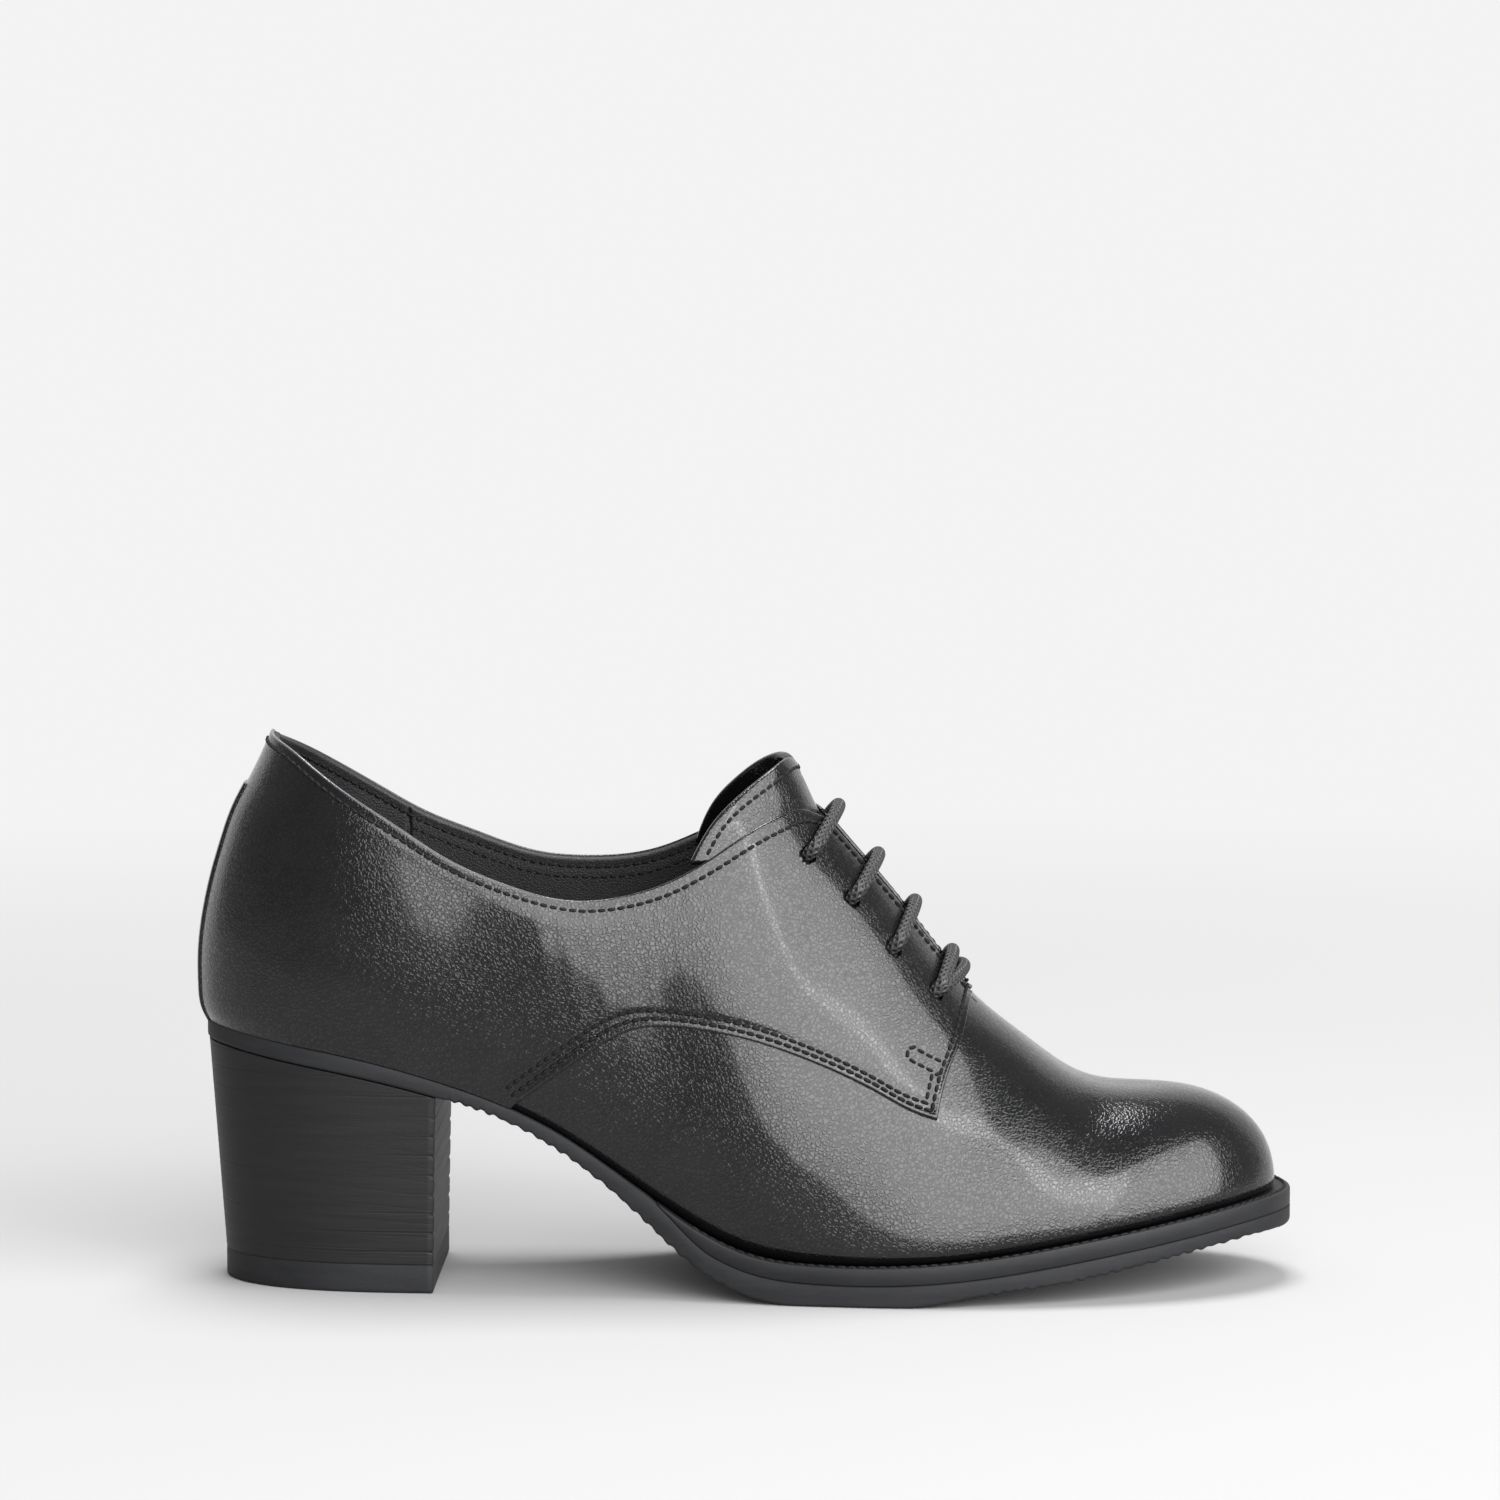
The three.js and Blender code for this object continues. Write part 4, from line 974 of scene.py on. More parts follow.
def lining_rows(side):
    """The sewn lines inside: one below the edge all along, and one below it ahead of the seam."""
    flat = np.linspace(0.02, END_U - 0.02, 400)
    high = quarter_high(flat, side)
    speed = np.linalg.norm(up_step(flat, high, side), axis=-1)
    ahead = form(flat, high, side)[:, 0] > LINING_SEAM_X + 1
    lines = []
    for k, distance in enumerate(LINING_ROWS):
        keep = ahead if k else np.full(len(flat), True)
        h = (high - (distance + LINING_DROP) / speed)[keep]
        level = np.full(len(h), LINING_UNDER)
        lines.append((layer(flat[keep], h, side, level), -outward(flat[keep], h, side)))
    return lines


def lining_piece(side, name):
    """The lining of a quarter, a little below its edge."""
    even = np.linspace(0, END_U + 0.004, 150)
    flat = np.sort(np.concatenate([even, np.linspace(*LINING_SEAM_STATIONS, 44)]))
    high = quarter_high(np.minimum(flat, END_U), side)
    high_speed = np.linalg.norm(up_step(flat, high, side), axis=-1)
    top = high - LINING_DROP / high_speed
    steps = np.array([0.0, 0.25, 0.6, 1.2, 2.0, 2.9])
    upper_rows = top[:, None] - steps[::-1] / high_speed[:, None]
    lower_rows = upper_rows[:, :1] * np.linspace(0, 1, 46)[:-1]
    h = np.concatenate([lower_rows, upper_rows], 1)
    u = np.broadcast_to(flat[:, None], h.shape)
    base = form(u, h, side)
    normal = outward(u, h, side)
    reach = np.cumsum(np.linalg.norm(np.diff(base, axis=1), axis=-1), 1)
    from_high = np.concatenate([reach[:, -1:], reach[:, -1:] - reach], 1)
    inner_level = LINING_UNDER + edge_drop(from_high, 0.4) - seam_dent(from_high, LINING_ROWS[0], 0.12)
    past_seam = base[..., 0] - LINING_SEAM_X
    inner_level += LINING_LAP * np.exp(-((past_seam / 0.45) ** 2))
    inner_level -= LINING_LAP * smooth(past_seam, 0.2, 0.9)
    outer_level = LINING_HIDDEN + (LINING_LEVEL - LINING_HIDDEN) * smooth(4.5 - from_high, 0.0, 3.0)
    outer = base + normal * outer_level[..., None]
    inner = base + normal * inner_level[..., None]
    points, quads = slab(outer, inner, ("first_column", "last_column", "last_row"))
    piece = make_piece(name, points, quads, finishes()["lining"], "upper", ("upper",), merge=0.02)
    _, _, places, ways = eyelet_places(side)
    cut_holes(piece, places, ways, bpy.context.scene.shoe_sizes.eyelet_width / 2 + 0.1, 3.5)
    return piece


def vamp_piece():
    """The vamp: from under the quarters to the toe, over the ridge from side to side."""
    rows = np.linspace(0, 1, 90)
    share = 1 - (1 - np.linspace(0, 1, 230)) ** 1.25
    halves = []
    for side in (OUTER, INNER):
        h = rows if side == OUTER else rows[::-1]
        start = 0.33 + 0.30 * smooth(h, 0.0, 0.85)
        u = start[None, :] + (1 - start)[None, :] * share[:, None]
        halves.append((u, np.broadcast_to(h[None, :], u.shape), np.full(u.shape, float(side))))
    u, h, side = (np.concatenate([a, b[:, 1:]], 1) for a, b in zip(*halves))
    base = form(u, h, side)
    ridge = (h > 0.9999) | (u > 0.9999)
    base[..., 1] = np.where(ridge, BALL_WIDTH * SECTION["swing"](u), base[..., 1])
    normal = outward(u, h, side)
    normal[..., 1] = np.where(ridge, 0.0, normal[..., 1])
    level = VAMP_LEVEL + body_relief(base)
    sole_edge = np.linalg.norm(up_step(u, h, side), axis=-1) * h
    level -= 0.35 * np.exp(-((sole_edge / 1.2) ** 2))
    outer = base + normal * level[..., None]
    inner = base + normal * VAMP_UNDER
    points, quads = slab(outer, inner, ("first_row", "first_column", "last_column"))
    return make_piece("vamp", points, quads, finishes()["leather"], "upper", ("upper",), merge=0.02)


def back_strip_piece():
    """The strip over the back seam, from the sole to a little under the collar."""
    half_width = BACK_STRIP_WIDTH / 2
    speed = np.linalg.norm(along_step(np.array([0.004]), np.array([0.3]), OUTER), axis=-1)[0]
    top_share = (BACK_STRIP_TOP - seat_at(0.0)) / depth_at(0.0)
    top_h = 1 - (1 - top_share) ** 0.5
    across = np.linspace(-1, 1, 41) * half_width / speed
    h = np.concatenate([np.linspace(0, top_h - 0.006, 70), top_h - np.array([0.004, 0.002, 0.0008, 0.0])])
    side = np.where(across < 0, OUTER, INNER)[:, None] * np.ones_like(h)
    u = np.abs(across)[:, None] * np.ones_like(h)
    high = np.broadcast_to(h, u.shape)
    base = form(u, high, side)
    base[..., 1] = np.where(u == 0, 0.0, base[..., 1])
    normal = outward(u, high, side)
    normal[..., 1] = np.where(u == 0, 0.0, normal[..., 1])
    from_side = (half_width / speed - u) * speed
    from_top = (top_h - high) * 115.0
    edge = np.minimum(from_side, from_top)
    level = BACK_STRIP_LEVEL - edge_drop(edge, 0.45) + seam_dent(from_side, 1.3, 0.1, 0.4)
    outer = base + normal * level[..., None]
    inner = base + normal * (QUARTER_LEVEL - 0.3)
    points, quads = slab(outer, inner, ("first_row", "last_row", "first_column", "last_column"))
    return make_piece("back_strip", points, quads, finishes()["leather"], "upper", ("upper",), merge=0.01)


def tongue_grid(across, t):
    """The tongue's stations and heights: across runs over it from side to side, t down it."""
    top_u, top_h = on_form(TONGUE_TOP[::-1])
    top_h[-1] = 1.0
    top_line = Spline(top_h, top_u)
    edge = TONGUE_SIDE_TOP + (TONGUE_SIDE_BASE - TONGUE_SIDE_TOP) * t
    h = 1 - (1 - edge)[None, :] * np.abs(across)[:, None]
    # 27/4 a^2 (1 - a) is 0 at the middle and the side, and 1 two thirds of the way out
    spread = 27 / 4 * across**2 * (1 - np.abs(across))
    start = top_line(h) - np.where(across > 0, TONGUE_FAR_BACK * spread, 0.0)[:, None]
    u = start + (angle_of(TONGUE_BASE) - start) * t[None, :]
    side = np.where(across < 0, OUTER, INNER)[:, None] * np.ones_like(u)
    return u, h, side


def tongue_level(t, h):
    """Under the facings the tongue keeps a gap; above them it stands out to the form."""
    free = np.clip(1 - t / 0.24, 0, 1) * smooth(h, 0.55, 0.9)
    return TONGUE_LEVEL + 3.0 * smooth(free, 0, 1)


def tongue_piece():
    """The tongue: one sheet over the instep with a turned edge."""
    across = np.linspace(-1, 1, 121)
    t = np.concatenate([np.array([0, 0.002, 0.005, 0.01, 0.018, 0.028, 0.04, 0.055, 0.07, 0.085]),
                        np.linspace(0.1, 1, 90)])
    u, h, side = tongue_grid(across, t)
    base = form(u, h, side)
    normal = outward(u, h, side)
    middle = np.abs(side * across[:, None]) < 1e-9
    base[..., 1] = np.where(middle, BALL_WIDTH * SECTION["swing"](u), base[..., 1])
    normal[..., 1] = np.where(middle, 0.0, normal[..., 1])
    reach = np.concatenate([np.zeros((len(across), 1)),
                            np.cumsum(np.linalg.norm(np.diff(base, axis=1), axis=-1), 1)], 1)
    level = tongue_level(t[None, :], h)
    band = 0.35 * smooth(TONGUE_BAND - reach, 0, 0.35)
    outer_level = level + band - edge_drop(reach, 0.8) + seam_dent(reach, TONGUE_ROW, 0.15, 0.35)
    outer = base + normal * outer_level[..., None]
    inner = base + normal * (level - TONGUE_THICKNESS + edge_drop(reach, 0.6))[..., None]
    points, quads = slab(outer, inner, ("first_row", "last_row", "first_column", "last_column"))
    return make_piece("tongue_leather", points, quads, finishes()["leather"], "tongue", ("tongue",),
                      merge=0.01)


def sewn_line(flat, h, side, level=QUARTER_LEVEL):
    """Points and outward directions of a sewn line given by the quarter's own stations."""
    u = skew(flat, h)
    return layer(u, h, side, np.full(u.shape, level)), outward(u, h, side)


def offset_line(flat, h, side, distance, inward):
    """A line moved across the surface: by distance, at right angles to its run."""
    u = skew(flat, h)
    points = form(u, h, side)
    normal = outward(u, h, side)
    run = np.gradient(points, axis=0)
    run /= np.linalg.norm(run, axis=-1, keepdims=True)
    across = np.cross(normal, run) * inward
    speed_h = up_step(u, h, side)
    speed_u = along_step(u, h, side)
    moved_h = h + distance * np.sum(across * speed_h, -1) / np.sum(speed_h**2, -1)
    moved_flat = flat + distance * np.sum(across * speed_u, -1) / np.sum(speed_u**2, -1)
    return moved_flat, moved_h


# The tacking: the inner row leaves the front edge for a narrow loop. Points in the plane of
# X and Z: on the lower leg, round the closed end and back along the upper leg.
TACK_LOOP = (
    (137.3, 50.1), (134.6, 51.5), (132.0, 52.9), (130.9, 53.6), (130.5, 54.4), (130.6, 55.2),
    (131.0, 55.8), (131.8, 56.0), (133.2, 55.2), (135.1, 54.1), (138.2, 52.5),
)


def quarter_rows(side):
    """All sewn lines of a quarter: two along its lower edge that turn up its front, where the
    inner one ends in the tacking's loop, and one along the collar and the facing."""
    lines = []
    loop = np.array(TACK_LOOP)
    loop_u, loop_h = on_form(np.stack([
        (loop[:, 0] - FORM_BACK_X) / FORM_LENGTH,
        (loop[:, 1] - seat_at(angle_of((loop[:, 0] - FORM_BACK_X) / FORM_LENGTH)))
        / depth_at(angle_of((loop[:, 0] - FORM_BACK_X) / FORM_LENGTH)),
    ], -1))
    loop_flat = unskew(loop_u, loop_h)
    start = LOWER_LINE.places[0] + 0.004
    for k, distance in enumerate(LOWER_ROWS):
        flat = np.linspace(start, END_U, 260)
        flat, h = offset_line(flat, quarter_low(flat), side, distance, -side)
        end = END_U - FRONT_ROWS[k] / FRONT_SPEED
        keep = (flat < end) & (h > 0.004)
        corner = h[keep][-1]
        runs = [(flat[keep], h[keep])]
        if k == 1:
            up = np.linspace(corner, loop_h[0] - 0.01, 20)
            runs += [(np.full(20, end), up), (loop_flat, loop_h)]
        else:
            up = np.linspace(corner, 0.93, 150)
            runs.append((np.full(150, end), up))
        lines.append(tuple(np.concatenate(part) for part in zip(*runs)))
    flat = np.linspace(0.0, END_U - FRONT_ROWS[0] / FRONT_SPEED, 420)
    lines.append(offset_line(flat, quarter_high(flat, side), side, COLLAR_ROW, side))
    return lines


def ledge_at(u):
    return SOLE_LEDGE * LEDGE(u)


def plan_point(u, side, offset):
    """A point of the form's lower edge moved out in plan, and pulled to the middle at the ends."""
    step = 0.002
    u = np.asarray(u, float)
    zero = np.zeros_like(u)
    run = form(np.minimum(u + step, 1), zero, side) - form(np.maximum(u - step, 0), zero, side)
    run[..., 2] = 0
    run /= np.linalg.norm(run, axis=-1, keepdims=True)
    out = np.stack([-side * run[..., 1], side * run[..., 0], zero], -1)
    out[u <= 0] = (-1, 0, 0)
    out[u >= 1] = (1, 0, 0)
    point = form(u, zero, side)
    ends = (u <= 0) | (u >= 1)
    point[..., 1] = np.where(ends, BALL_WIDTH * SECTION["swing"](u), point[..., 1])
    return point + out * np.asarray(offset)[..., None]


def station_at_x(x):
    """The station at which the form's lower edge has a given x."""
    lean = np.zeros_like(x)
    for _ in range(6):
        u = angle_of((x - lean - FORM_BACK_X) / FORM_LENGTH)
        lean = form(u, 0.0, OUTER)[..., 0] - FORM_BACK_X - FORM_LENGTH * along_of(u)
    return angle_of((x - lean - FORM_BACK_X) / FORM_LENGTH)


def sole_top(u):
    return seat_at(u) - FIT_GAP


def midsole_share(u):
    return smooth(along_of(u), MIDSOLE_START, MIDSOLE_FULL)


def outsole_top(u):
    return sole_top(u) - (MIDSOLE_THICKNESS + FIT_GAP) * midsole_share(u)


def sole_under(u):
    return np.maximum(seat_at(u) - SOLE_DEPTH * DEEP(u), 0)


def sole_body(stations, profile, across=25):
    """A layer of the sole. profile gives, for each ring from the underside's edge to the top's,
    the offset in plan and the height at each station. Both faces are closed by grids that run
    from side to side."""
    rings = []
    for offset, height in profile:
        left = plan_point(stations, OUTER, offset)
        right = plan_point(stations, INNER, offset)
        for line in (left, right):
            line[:, 2] = height(station_at_x(line[:, 0]), stations)
        rings.append(np.concatenate([left[::-1], right]))
    points = [np.concatenate(rings)]
    quads = [loop_quads(len(rings), 2 * len(stations))]
    start = len(points[0])
    count = len(stations)
    t = np.linspace(0, 1, across)[None, :, None]
    for ring, flip in ((rings[0], False), (rings[-1], True)):
        left, right = ring[:count][::-1], ring[count:]
        face = left[:, None] * (1 - t) + right[:, None] * t
        face_quads = grid_quads(count, across, start)
        quads.append(face_quads[:, ::-1] if flip else face_quads)
        points.append(face.reshape(-1, 3))
        start += count * across
    return np.concatenate(points), np.concatenate(quads)


def edge_noise(x, pitch, seed):
    """Uneven short waves along the sole, the same each run: sums of sines of unlike pitch."""
    wave = np.sin(2 * np.pi * x / pitch + seed)
    wave += 0.6 * np.sin(2 * np.pi * x / (pitch * 0.61) + 2.1 * seed)
    wave += 0.5 * np.sin(2 * np.pi * x / (pitch * 2.3) + 0.7 * seed)
    return wave / 2.1


def tread(u):
    """The height of the underside's ribs: a sawn wave along the sole, none on the flat pad."""
    x = FORM_BACK_X + FORM_LENGTH * along_of(u)
    uneven = edge_noise(x, 3.9, 1.0)
    wave = 0.5 + 0.5 * np.clip(0.8 * np.sin(2 * np.pi * x / RIB_PITCH) + 0.9 * uneven, -1, 1)
    waist = smooth(x, BREAST_X + 1, BREAST_X + 4) * (1 - smooth(x, 86, 96))
    toe = smooth(x, 140, 148) * (1 - smooth(x, 206, 213)) * 0.7
    return RIB_DEPTH * wave * (waist + toe)


def outsole_piece():
    """The outsole: a long layer with a sanded edge and a ribbed underside."""
    stations = np.concatenate([
        np.linspace(0, 0.3, 60, endpoint=False),
        np.linspace(0.3, 0.9, 520, endpoint=False),
        np.linspace(0.9, 1, 50),
    ])
    def under(u, _):
        return sole_under(u) + tread(u)
    def lift(amount):
        return lambda u, s: under(u, s) + amount
    ledge = ledge_at(stations)
    profile = [
        (ledge - 0.75, under), (ledge - 0.32, lift(0.12)), (ledge - 0.08, lift(0.42)), (ledge, lift(0.85)),
        (ledge, lambda u, s: outsole_top(u) * 0.5 + under(u, s) * 0.5),
        (ledge, lambda u, s: outsole_top(u) - 0.3), (ledge - 0.15, lambda u, s: outsole_top(u)),
    ]
    points, quads = sole_body(stations, profile)
    return make_piece("outsole_rubber", points, quads, finishes()["rubber"], "outsole", ("outsole",),
                      merge=0.002)


def midsole_piece():
    """The midsole: a second layer of the forefoot, with the ledge for the sole stitches."""
    start = float(angle_of(MIDSOLE_START + 0.22 * (MIDSOLE_FULL - MIDSOLE_START)))
    stations = start + (1 - start) * np.linspace(0, 1, 330)
    ledge = ledge_at(stations)
    def low(u, _):
        return outsole_top(u) + 0.12
    profile = [
        (ledge - 0.2, low), (ledge, lambda u, s: low(u, s) + 0.22),
        (ledge, lambda u, s: sole_top(u) - 0.55 * midsole_share(u)),
        (ledge - 0.12, lambda u, s: sole_top(u) - 0.22 * midsole_share(u)),
        (ledge - 0.4, lambda u, s: sole_top(u) - 0.05 * midsole_share(u)),
        (ledge * 0.62, lambda u, s: sole_top(u)),
        (ledge * 0.3, lambda u, s: sole_top(u) - 0.25 * midsole_share(u)),
        (np.full_like(ledge, -0.6), lambda u, s: sole_top(u) - 0.3 * midsole_share(u)),
    ]
    points, quads = sole_body(stations, profile)
    return make_piece("midsole_edge", points, quads, finishes()["sole_edge"], "midsole", ("midsole",),
                      merge=0.002)


def insole_piece():
    """The sock inside: a thin plate with a soft rounded rim."""
    stations = np.linspace(0, 1, 160)
    inset = -(1.8 + FIT_GAP + 0.2 * np.sin(np.pi * stations))
    profile = [
        (inset, lambda u, s: seat_at(u)), (inset, lambda u, s: seat_at(u) + INSOLE_THICKNESS - 0.5),
        (inset - 0.2, lambda u, s: seat_at(u) + INSOLE_THICKNESS - 0.12),
        (inset - 0.7, lambda u, s: seat_at(u) + INSOLE_THICKNESS),
    ]
    points, quads = sole_body(stations, profile)
    return make_piece("insole_sock", points, quads, finishes()["lining"], "insole", ("insole",),
                      merge=0.002)


def heel_plan(count):
    breast = float(station_at_x(np.array([BREAST_X]))[0])
    stations = np.linspace(0, breast, count)
    sides = []
    for side in (OUTER, INNER):
        line = plan_point(stations, side, ledge_at(stations) - HEEL_INSET)
        line[:, 2] = sole_under(station_at_x(line[:, 0]))
        sides.append(line)
    return sides


def heel_ring(sides, share, height, inset, groove):
    """A ring of the heel: the sole's plan at share 1, the base's sizes at share 0."""
    back = sides[0][0, 0]
    widest = max(np.abs(sides[0][:, 1]).max(), np.abs(sides[1][:, 1]).max())
    length = HEEL_BASE_FRONT_X - HEEL_BASE_BACK_X - 2 * inset
    out = []
    for line in sides:
        on_length = (line[:, 0] - back) / (line[-1, 0] - back)
        x = (HEEL_BASE_BACK_X + inset + on_length * length) * (1 - share) + line[:, 0] * share
        y = line[:, 1] * (HEEL_BASE_WIDTH / 2 - inset) / widest * (1 - share) + line[:, 1] * share
        x[-1] -= groove
        out.append(np.stack([x, y, height(line)], -1))
    return out


def heel_body(levels, sides, across=21):
    """A stack of heel rings, with its breast, top and base closed by grids."""
    rings = [heel_ring(sides, *level) for level in levels]
    count = len(sides[0])
    loop = np.stack([np.concatenate([left[::-1], right]) for left, right in rings])
    points = [loop.reshape(-1, 3)]
    quads = [grid_quads(len(rings), 2 * count)]
    start = len(points[0])
    t = np.linspace(0, 1, across)[None, :, None]
    left_edge = np.stack([left[-1] for left, _ in rings])
    right_edge = np.stack([right[-1] for _, right in rings])
    breast = left_edge[:, None] * (1 - t) + right_edge[:, None] * t
    points.append(breast.reshape(-1, 3))
    quads.append(grid_quads(len(rings), across, start)[:, ::-1])
    start += len(rings) * across
    for left, right in (rings[0], rings[-1]):
        face = left[:, None] * (1 - t) + right[:, None] * t
        points.append(face.reshape(-1, 3))
        quads.append(grid_quads(count, across, start))
        start += count * across
    return np.concatenate(points), np.concatenate(quads)


def heel_block_piece():
    """The stacked heel: fine grooves between its layers, deeper across the breast."""
    sides = heel_plan(60)
    top = sides[0][-1, 2] - FIT_GAP
    heights = np.linspace(LIFT_THICKNESS, top, 220)
    phase = (heights - BREAST_FIRST_Z) / BREAST_PITCH
    inside = (phase > 0) & (phase < BREAST_GROOVES)
    wave = np.where(inside, 0.35 * np.clip(0.5 + 0.5 * np.cos(2 * np.pi * phase), 0, 1) ** 10, 0)
    layer_wave = np.clip(np.cos(2 * np.pi * (heights - LIFT_THICKNESS) / 3.1), 0.9, 1) - 0.9
    levels = []
    for z, groove, fine in zip(heights, wave, layer_wave):
        share = (z - LIFT_THICKNESS) / (top - LIFT_THICKNESS)
        height = lambda line, s=share: LIFT_THICKNESS * (1 - s) + (line[:, 2] - FIT_GAP) * s
        levels.append((share, height, fine * 0.5, groove * BREAST_DEPTH))
    points, quads = heel_body(levels, sides)
    return make_piece("heel_stack", points, quads, finishes()["heel"], "heel_block", ("heel_block",),
                      merge=0.002)


def top_lift_piece():
    """The heel's bottom layer, with a broken edge and a fine line where it meets the stack."""
    sides = heel_plan(60)
    steps = ((0.0, 0.55), (0.12, 0.25), (0.4, 0.06), (0.9, 0.0), (3.2, 0.0), (LIFT_THICKNESS - 0.35, 0.0),
             (LIFT_THICKNESS - 0.02, 0.12))
    levels = [(0.0, lambda line, z=z: np.full(len(line), z), inset, 0.0) for z, inset in steps]
    points, quads = heel_body(levels, sides)
    return make_piece("top_lift_rubber", points, quads, finishes()["rubber"], "top_lift", ("top_lift",),
                      merge=0.002)


# Laces

BRAID_STRANDS = 6
BRAID_TWIST = 3.6


def tube(path, radius, sides, steps_per_mm):
    """A round tube along a smooth path. Its frames are carried along the path by turning the
    last one as little as possible. turn and run are its own coordinates for the braid."""
    chord = np.concatenate([[0], np.cumsum(np.linalg.norm(np.diff(path, axis=0), axis=1))])
    count = max(int(chord[-1] * steps_per_mm), 8)
    places = np.linspace(0, chord[-1], count)
    centre = np.stack([Spline(chord, path[:, k])(places) for k in range(3)], -1)
    tangent = np.gradient(centre, axis=0)
    tangent /= np.linalg.norm(tangent, axis=1, keepdims=True)
    side_way = np.zeros_like(centre)
    first = np.cross(tangent[0], (0.0, 1.0, 0.2))
    side_way[0] = first / np.linalg.norm(first)
    for k in range(1, count):
        carried = side_way[k - 1] - tangent[k] * np.dot(side_way[k - 1], tangent[k])
        side_way[k] = carried / np.linalg.norm(carried)
    other = np.cross(tangent, side_way)
    turn = np.linspace(0, 2 * np.pi, sides, endpoint=False)
    run = places
    strand = np.maximum(np.sin(BRAID_STRANDS * turn[None] + BRAID_TWIST * run[:, None]),
                        np.sin(BRAID_STRANDS * turn[None] - BRAID_TWIST * run[:, None]))
    size = radius * (1 + 0.08 * strand)
    ring = centre[:, None] + size[..., None] * (
        np.cos(turn)[None, :, None] * side_way[:, None] + np.sin(turn)[None, :, None] * other[:, None])
    points = ring.reshape(-1, 3)
    quads = loop_quads(count, sides)
    points = np.concatenate([points, centre[:1], centre[-1:]])
    tip = count * sides
    ids = np.arange(sides)
    nxt = (ids + 1) % sides
    last = (count - 1) * sides
    fan_a = np.stack([ids, nxt, np.full(sides, tip), np.full(sides, tip)], -1)
    fan_b = np.stack([last + nxt, last + ids, np.full(sides, tip + 1), np.full(sides, tip + 1)], -1)
    turns = np.concatenate([np.tile(turn, count), [0, 0]])
    runs = np.concatenate([np.repeat(run, sides), [0, places[-1]]])
    return points, quads, np.concatenate([fan_a[:, :3], fan_b[:, :3]]), turns, runs


def lace_path(along, rise, over, lift=0.0):
    """A lace's run: up out of one eyelet, straight over the facing as seen from the side,
    over the ridge and down into the other eyelet."""
    radius = bpy.context.scene.shoe_sizes.lace_width / 2
    rest = QUARTER_LEVEL + radius + 0.05
    stops = np.array((
        (0.00, -3.4), (0.02, -1.2), (0.07, 0.7), (0.17, rest), (0.34, rest + 0.1), (0.52, rest + 0.15),
        (0.70, rest + 0.2), (0.84, rest + 0.25), (0.94, rest + 0.3),
    ))
    t, level = stops.T
    start_u, end_u = angle_of(along), angle_of(over)
    x_share = along + (over - along) * t
    start_z = seat_at(start_u) + depth_at(start_u) * rise
    z = start_z + (seat_at(end_u) + depth_at(end_u) - start_z) * t
    u = angle_of(x_share)
    share = np.clip((z - seat_at(u)) / depth_at(u), 0, 0.9995)
    h = 1 - (1 - share) ** (1 / SECTION["square"](u))
    halves = [layer(u, h, side, level + lift * smooth(t, 0.0, 0.3)) for side in (OUTER, INNER)]
    return np.concatenate([halves[0], halves[1][::-1]])


def add_tube(name, path, radius, nodes):
    points, quads, fans, turns, runs = tube(path, radius, 30, 7.0)
    mesh_faces = quads.tolist() + fans.tolist()
    mesh = bpy.data.meshes.new(name)
    mesh.from_pydata((points * MM).tolist(), [], mesh_faces)
    for key, value in (("turn", turns), ("run", runs)):
        mesh.attributes.new(key, "FLOAT", "POINT").data.foreach_set("value", value.astype(np.float32))
    mesh.polygons.foreach_set("use_smooth", np.ones(len(mesh.polygons), bool))
    work = bmesh.new()
    work.from_mesh(mesh)
    bmesh.ops.recalc_face_normals(work, faces=work.faces)
    work.to_mesh(mesh)
    work.free()
    mesh.materials.append(finishes()["lace"])
    piece = bpy.data.objects.new(name, mesh)
    bpy.context.scene.collection.objects.link(piece)
    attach(piece, "root")
    if nodes:
        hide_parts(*nodes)
    return piece


# Operators

class SHOE_OT_upper(bpy.types.Operator):
    """Build the vamp, the quarters, the lining and the back strip."""

    bl_idname = "shoe.upper"
    bl_label = "Upper"

    def execute(self, context):
        vamp_piece()
        for side, name in ((OUTER, "outer"), (INNER, "inner")):
            quarter_piece(side, "quarter_" + name)
            lining_piece(side, "lining_" + name)
        back_strip_piece()
        return {"FINISHED"}


class SHOE_OT_tongue(bpy.types.Operator):
    """Build the tongue with its turned edge."""

    bl_idname = "shoe.tongue"
    bl_label = "Tongue"

    def execute(self, context):
        tongue_piece()
        return {"FINISHED"}


class SHOE_OT_sole(bpy.types.Operator):
    """Build the outsole, the midsole, the sock, the heel and its top lift."""

    bl_idname = "shoe.sole"
    bl_label = "Sole and heel"

    def execute(self, context):
        outsole_piece()
        midsole_piece()
        insole_piece()
        heel_block_piece()
        top_lift_piece()
        return {"FINISHED"}


